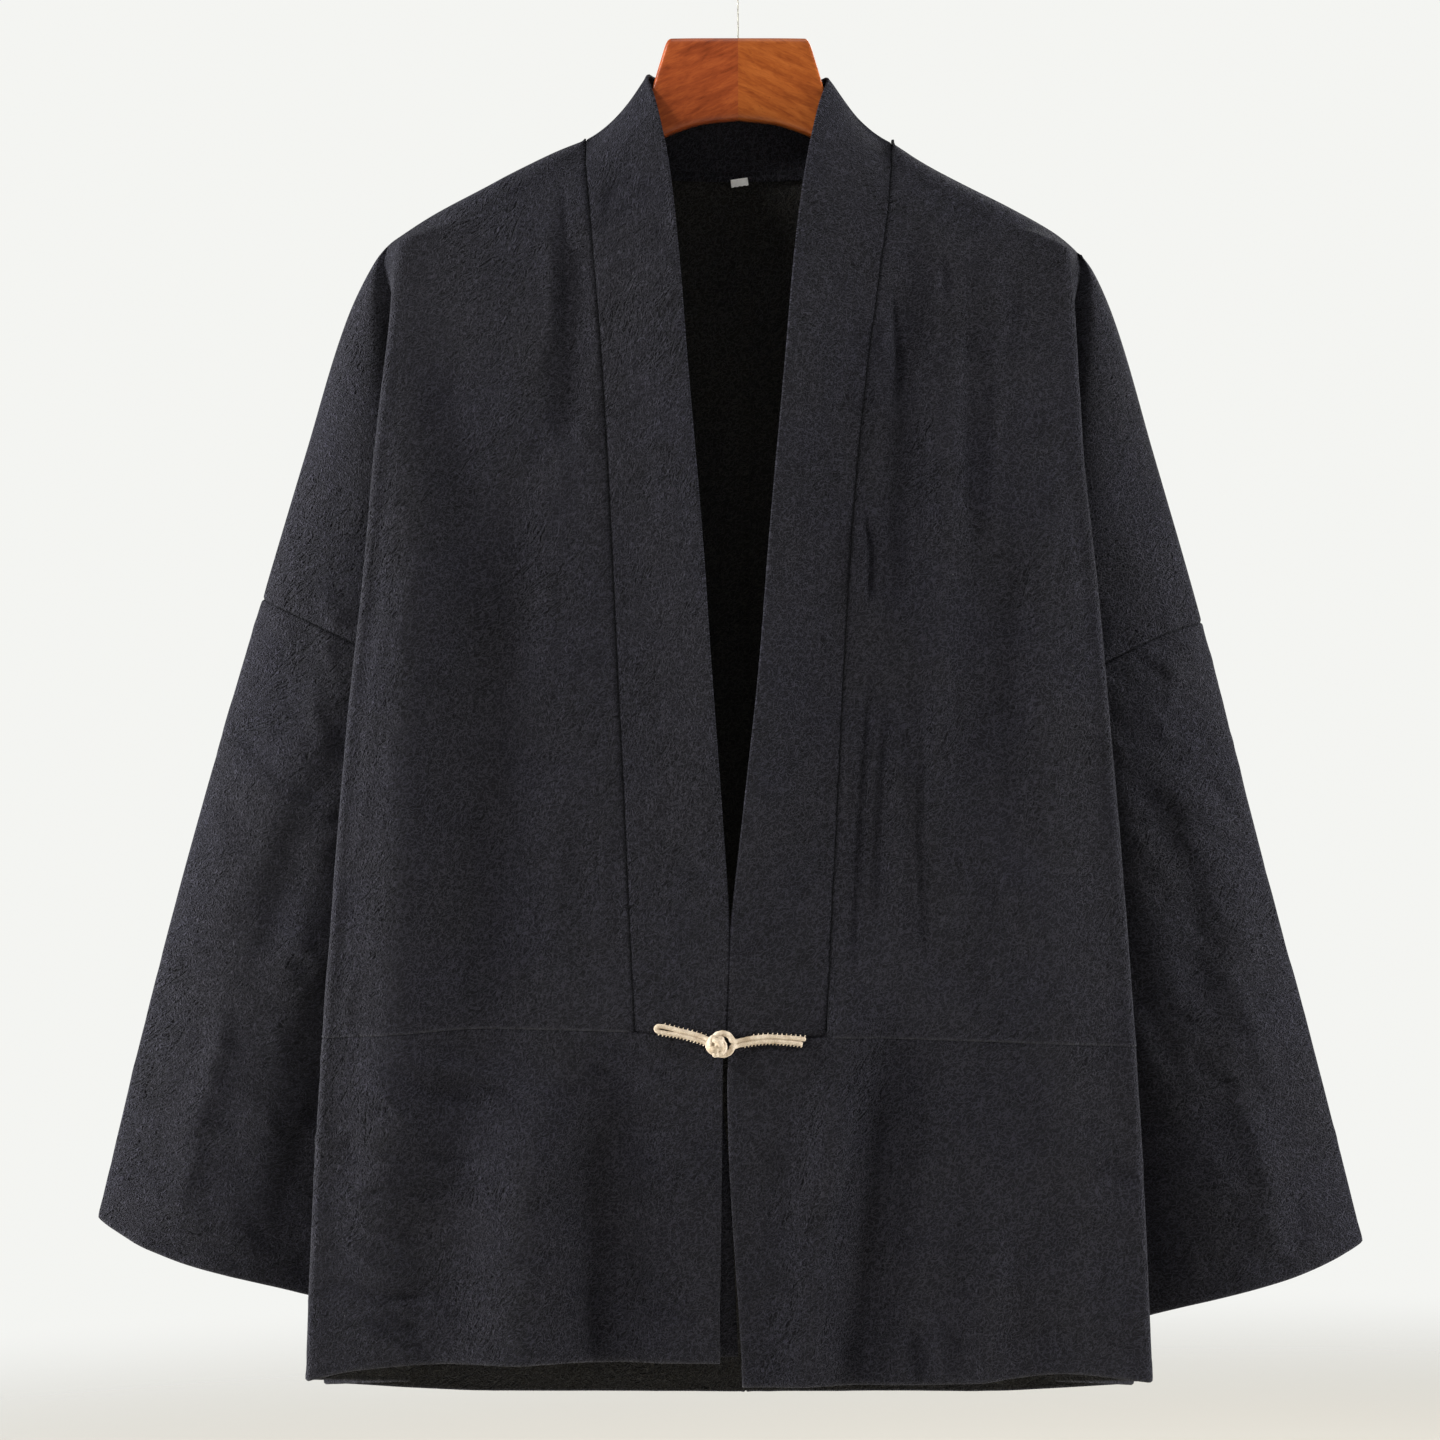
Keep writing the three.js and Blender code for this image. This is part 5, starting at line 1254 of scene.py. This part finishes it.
def frog_knot():
    """A ball knot of one cord that goes over and under itself round a core."""
    centre = np.array([KNOT_X, front_y(KNOT_X, KNOT_Z) - 1.0 - KNOT_RISE + 0.4, KNOT_Z])
    t = np.linspace(0, 2 * np.pi, 340, endpoint=False)
    longitude = KNOT_TURNS * t
    latitude = math.radians(KNOT_REACH) * np.cos(KNOT_BIGHTS * t)
    radius = KNOT_RADIUS + KNOT_WEAVE * np.sin(2 * KNOT_BIGHTS * t)
    level = radius * np.cos(latitude)
    local = np.stack([level * np.cos(longitude), radius * np.sin(latitude), level * np.sin(longitude)], 1)
    path = local @ turn(38, 1, 2).T @ turn(24, 0, 1).T + centre
    spokes = path - centre
    spokes /= np.linalg.norm(spokes, axis=1)[:, None]
    neck = resample([centre + [1.0, 4.5, 0.5], centre + [0.3, 7.5, 0.2], centre + [0, 9.6, 0]], CORD_STEP)
    return make_joined("frog_ball_knot", [
        tube(path, KNOT_CORD, closed=True, up=spokes, ribs=0.03, twist=0.6, press=(1.12, 0.86)),
        ball(centre, KNOT_CORE),
        tube(neck, 1.7, up=(1, 0, 0), ribs=0.05),
    ], FROG_COTTON)


def ball(centre, radius, rings=14, sides=22):
    vertices = [centre + [0, -radius, 0]]
    for i in range(1, rings):
        a = math.pi * i / rings
        for j in range(sides):
            b = 2 * math.pi * j / sides
            spoke = [math.sin(a) * math.cos(b), -math.cos(a), math.sin(a) * math.sin(b)]
            vertices.append(centre + radius * np.array(spoke))
    vertices.append(centre + [0, radius, 0])
    last = len(vertices) - 1
    faces = [[0, 1 + j, 1 + (j + 1) % sides] for j in range(sides)]
    faces += [[1 + v for v in (a, d, c, b)] for a, b, c, d in ring_faces(rings - 1, sides)[:-2]]
    faces += [[last, last - sides + (j + 1) % sides, last - sides + j] for j in range(sides)]
    return np.array(vertices), faces


# ---- Tab, hanger and wire ----
TAB_WIDTH, TAB_HEIGHT, TAB_THICK, TAB_TILT = 10.5, 4.8, 0.28, math.radians(8)
TAB_PLACE = (1, 18.6, -123.9)
HANGER_SIDES = 48
WIRE_ROD, WIRE_EYE, WIRE_COIL, EYE_RADIUS = 0.42, 0.4, 0.36, 4.4
COIL_RADIUS, COIL_TURNS, COIL_TOP, COIL_LENGTH = 0.72, 3.5, -9.2, 3.2


def size_tab():
    columns, rows = 22, 12
    points, faces = [], []
    for layer in (0, 1):
        for v in (i / rows for i in range(rows + 1)):
            for u in (j / columns for j in range(columns + 1)):
                x = (u - 0.5) * TAB_WIDTH
                fray = 0.18 * math.sin(23.0 * u) * (v > 0.9) + 0.12 * math.sin(61.0 * u) * (v > 0.9)
                z = (0.5 - v) * TAB_HEIGHT - fray
                curl = 0.5 * math.sin(math.pi * u) + 0.9 * v * v * (0.6 + 0.4 * math.sin(3.0 * u))
                points.append((
                    TAB_PLACE[0] + x * math.cos(TAB_TILT) - z * math.sin(TAB_TILT),
                    TAB_PLACE[1] - curl + TAB_THICK * layer,
                    TAB_PLACE[2] + x * math.sin(TAB_TILT) + z * math.cos(TAB_TILT),
                ))
    across = columns + 1
    per = (rows + 1) * across
    for i in range(rows):
        for a in range(i * across, i * across + columns):
            faces.append([a, a + across, a + across + 1, a + 1])
            faces.append([a + per, a + per + 1, a + per + across + 1, a + per + across])
    ring = list(range(across))
    ring += [i * across + columns for i in range(1, rows + 1)]
    ring += [rows * across + j for j in range(columns - 1, -1, -1)]
    ring += [i * across for i in range(rows - 1, 0, -1)]
    faces += [[a, b, b + per, a + per] for a, b in zip(ring, ring[1:] + ring[:1])]
    return make_object("size_tape", points, faces, [tab_material()])


def hanger_half(name, sign, wood):
    """Half a hanger with rounded square sections, whose near end is flat."""
    outs = np.concatenate([
        [0, 0.04], np.linspace(0.5, 40, 16), np.linspace(41, 64, 22), np.linspace(67, 186, 44), [187.5, 189, 190],
    ])
    angles = 2 * np.pi * (np.arange(HANGER_SIDES) + 0.5) / HANGER_SIDES
    square = lambda v, power: np.sign(v) * np.abs(v) ** (2 / power)
    rings = []
    for out in outs:
        top, bottom, half = (float(curve(HANGER, out, k)) for k in (1, 2, 3))
        z = (top + bottom) / 2 + square(np.sin(angles), 7) * (top - bottom) / 2
        rings.append(np.stack([np.full(HANGER_SIDES, sign * out), square(np.cos(angles), 5) * half, z], 1))
    faces = ring_faces(len(rings), HANGER_SIDES)
    return make_object(name, np.concatenate(rings), faces if sign > 0 else [f[::-1] for f in faces], [wood])


def wires(steel):
    rod = resample([(0, 0, -44), (0.05, 0, -34), (-0.04, 0, -22), (0, 0, -9.3)], 0.6)
    angles = np.linspace(0, 2 * np.pi, 72, endpoint=False)
    drop = WIRE_EYE - EYE_RADIUS
    eye = np.stack([EYE_RADIUS * np.sin(angles), 0 * angles, drop + EYE_RADIUS * np.cos(angles)], 1)
    coil = [(0.3, 0.2, -8.7)]
    for i in range(84):
        a = i / 84 * 2 * np.pi * COIL_TURNS
        coil.append((COIL_RADIUS * math.cos(a), COIL_RADIUS * math.sin(a), COIL_TOP - COIL_LENGTH * i / 83))
    eye_parts = [
        tube(eye, WIRE_EYE, closed=True, sides=14, up=(0, 1, 0)),
        tube(np.array(coil), WIRE_COIL, sides=10, up=(0, 0, 1), taper=True),
    ]
    rod_parts = [tube(rod, WIRE_ROD, sides=14, up=(0, 1, 0))]
    return make_joined("wire_rod", rod_parts, [steel]), make_joined("wire_eye", eye_parts, [steel])


# ---- Camera, stage and light ----
camera = bpy.data.cameras.new("camera")
camera.lens, camera.sensor_width = 100, 36
camera_object = bpy.data.objects.new("camera", camera)
camera_object.location = (-0.0108, -2.4, -0.4488)
camera_object.rotation_euler = (math.pi / 2, 0, 0)
bpy.context.scene.collection.objects.link(camera_object)
bpy.context.scene.camera = camera_object


def floor():
    """A pale disc that fades out towards its rim."""
    bpy.ops.mesh.primitive_circle_add(vertices=96, radius=9, fill_type="NGON", location=(0.6, 0, -1.3))
    disc = bpy.context.object
    disc.name = "floor"
    g = Graph("floor")
    reach = g.node("ShaderNodeVectorMath", {0: g.space}, operation="LENGTH").outputs["Value"]
    disc.data.materials.append(g.finish(
        Base_Color=(0.58, 0.555, 0.5, 1), Roughness=0.9, Alpha=g.fade(reach, 2.2, 3.6), Specular_IOR_Level=0.1,
    ))


def area_light(name, place, target, size, power, colour=(1, 1, 1)):
    data = bpy.data.lights.new(name, "AREA")
    data.shape, data.size, data.energy, data.color = "DISK", size, power, colour
    light = bpy.data.objects.new(name, data)
    light.location = place
    light.rotation_euler = (Vector(target) - Vector(place)).to_track_quat("-Z", "Y").to_euler()
    bpy.context.scene.collection.objects.link(light)


floor()
area_light("key", (-2.3, -1.3, 1.3), (0, 0, -0.45), 0.7, 80, (1, 0.985, 0.965))
area_light("fill", (1.9, -2.1, 0.2), (0, 0, -0.45), 1.4, 6, (0.97, 0.98, 1))
area_light("side_right", (-2.5, -0.1, -0.3), (-0.3, 0, -0.55), 1.0, 165)
area_light("side_left", (2.5, -0.15, -0.3), (0.3, 0, -0.55), 1.1, 115)
area_light("top", (0.1, -0.4, 1.5), (0, 0, -0.6), 1.2, 14)
area_light("behind", (1.3, 2.3, 1.5), (0, 0, -0.5), 1.6, 70)

# The world is seen as a bright studio wall but lights the cloth less, as a large room does.
world = bpy.data.worlds.new("studio")
bpy.context.scene.world = world
world.use_nodes = True
background = world.node_tree.nodes["Background"]
background.inputs["Color"].default_value = (0.905, 0.91, 0.885, 1)
seen = world.node_tree.nodes.new("ShaderNodeLightPath").outputs["Is Camera Ray"]
level = world.node_tree.nodes.new("ShaderNodeMapRange")
level.inputs["To Min"].default_value = 0.24
world.node_tree.links.new(seen, level.inputs["Value"])
world.node_tree.links.new(level.outputs["Result"], background.inputs["Strength"])
bpy.context.scene.view_settings.view_transform = "Standard"

# ---- Build the pieces ----
pieces = {}
for name in SIDES:
    pieces[f"front_{name}"] = front(name), "jacket_cloth"
    pieces[f"lower_front_{name}"] = lower_front(name), "jacket_cloth"
    pieces[f"back_{name}"] = back(name), "jacket_cloth"
    pieces[f"sleeve_{name}"] = sleeve(name), "jacket_cloth"
pieces["front_band"] = band(), "jacket_cloth"
pieces["front_facing"] = facing(), "jacket_cloth"

wood_right = wood_material("wood_right", -24, (0.12, 0.019, 0.0045), (0.24, 0.048, 0.011), (0.35, 0.082, 0.019))
wood_left = wood_material("wood_left", 24, (0.15, 0.029, 0.005), (0.27, 0.064, 0.0105), (0.38, 0.108, 0.02))
rod, eye = wires(steel_material())
pieces |= {
    "frog_knot": (frog_knot(), "frog_cord"),
    "frog_knot_tail": (frog_tail(), "frog_cord"),
    "frog_loop": (frog_loop(), "frog_cord"),
    "size_tab": (size_tab(), "tab_cloth"),
    "hanger_right": (hanger_half("hanger_wood_right", -1, wood_right), "wood_right"),
    "hanger_left": (hanger_half("hanger_wood_left", 1, wood_left), "wood_left"),
    "hang_wire": (rod, "wire_steel"),
    "hang_loop": (eye, "wire_steel"),
}
for node, (piece, slot) in pieces.items():
    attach(piece, "root")
    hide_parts(node)
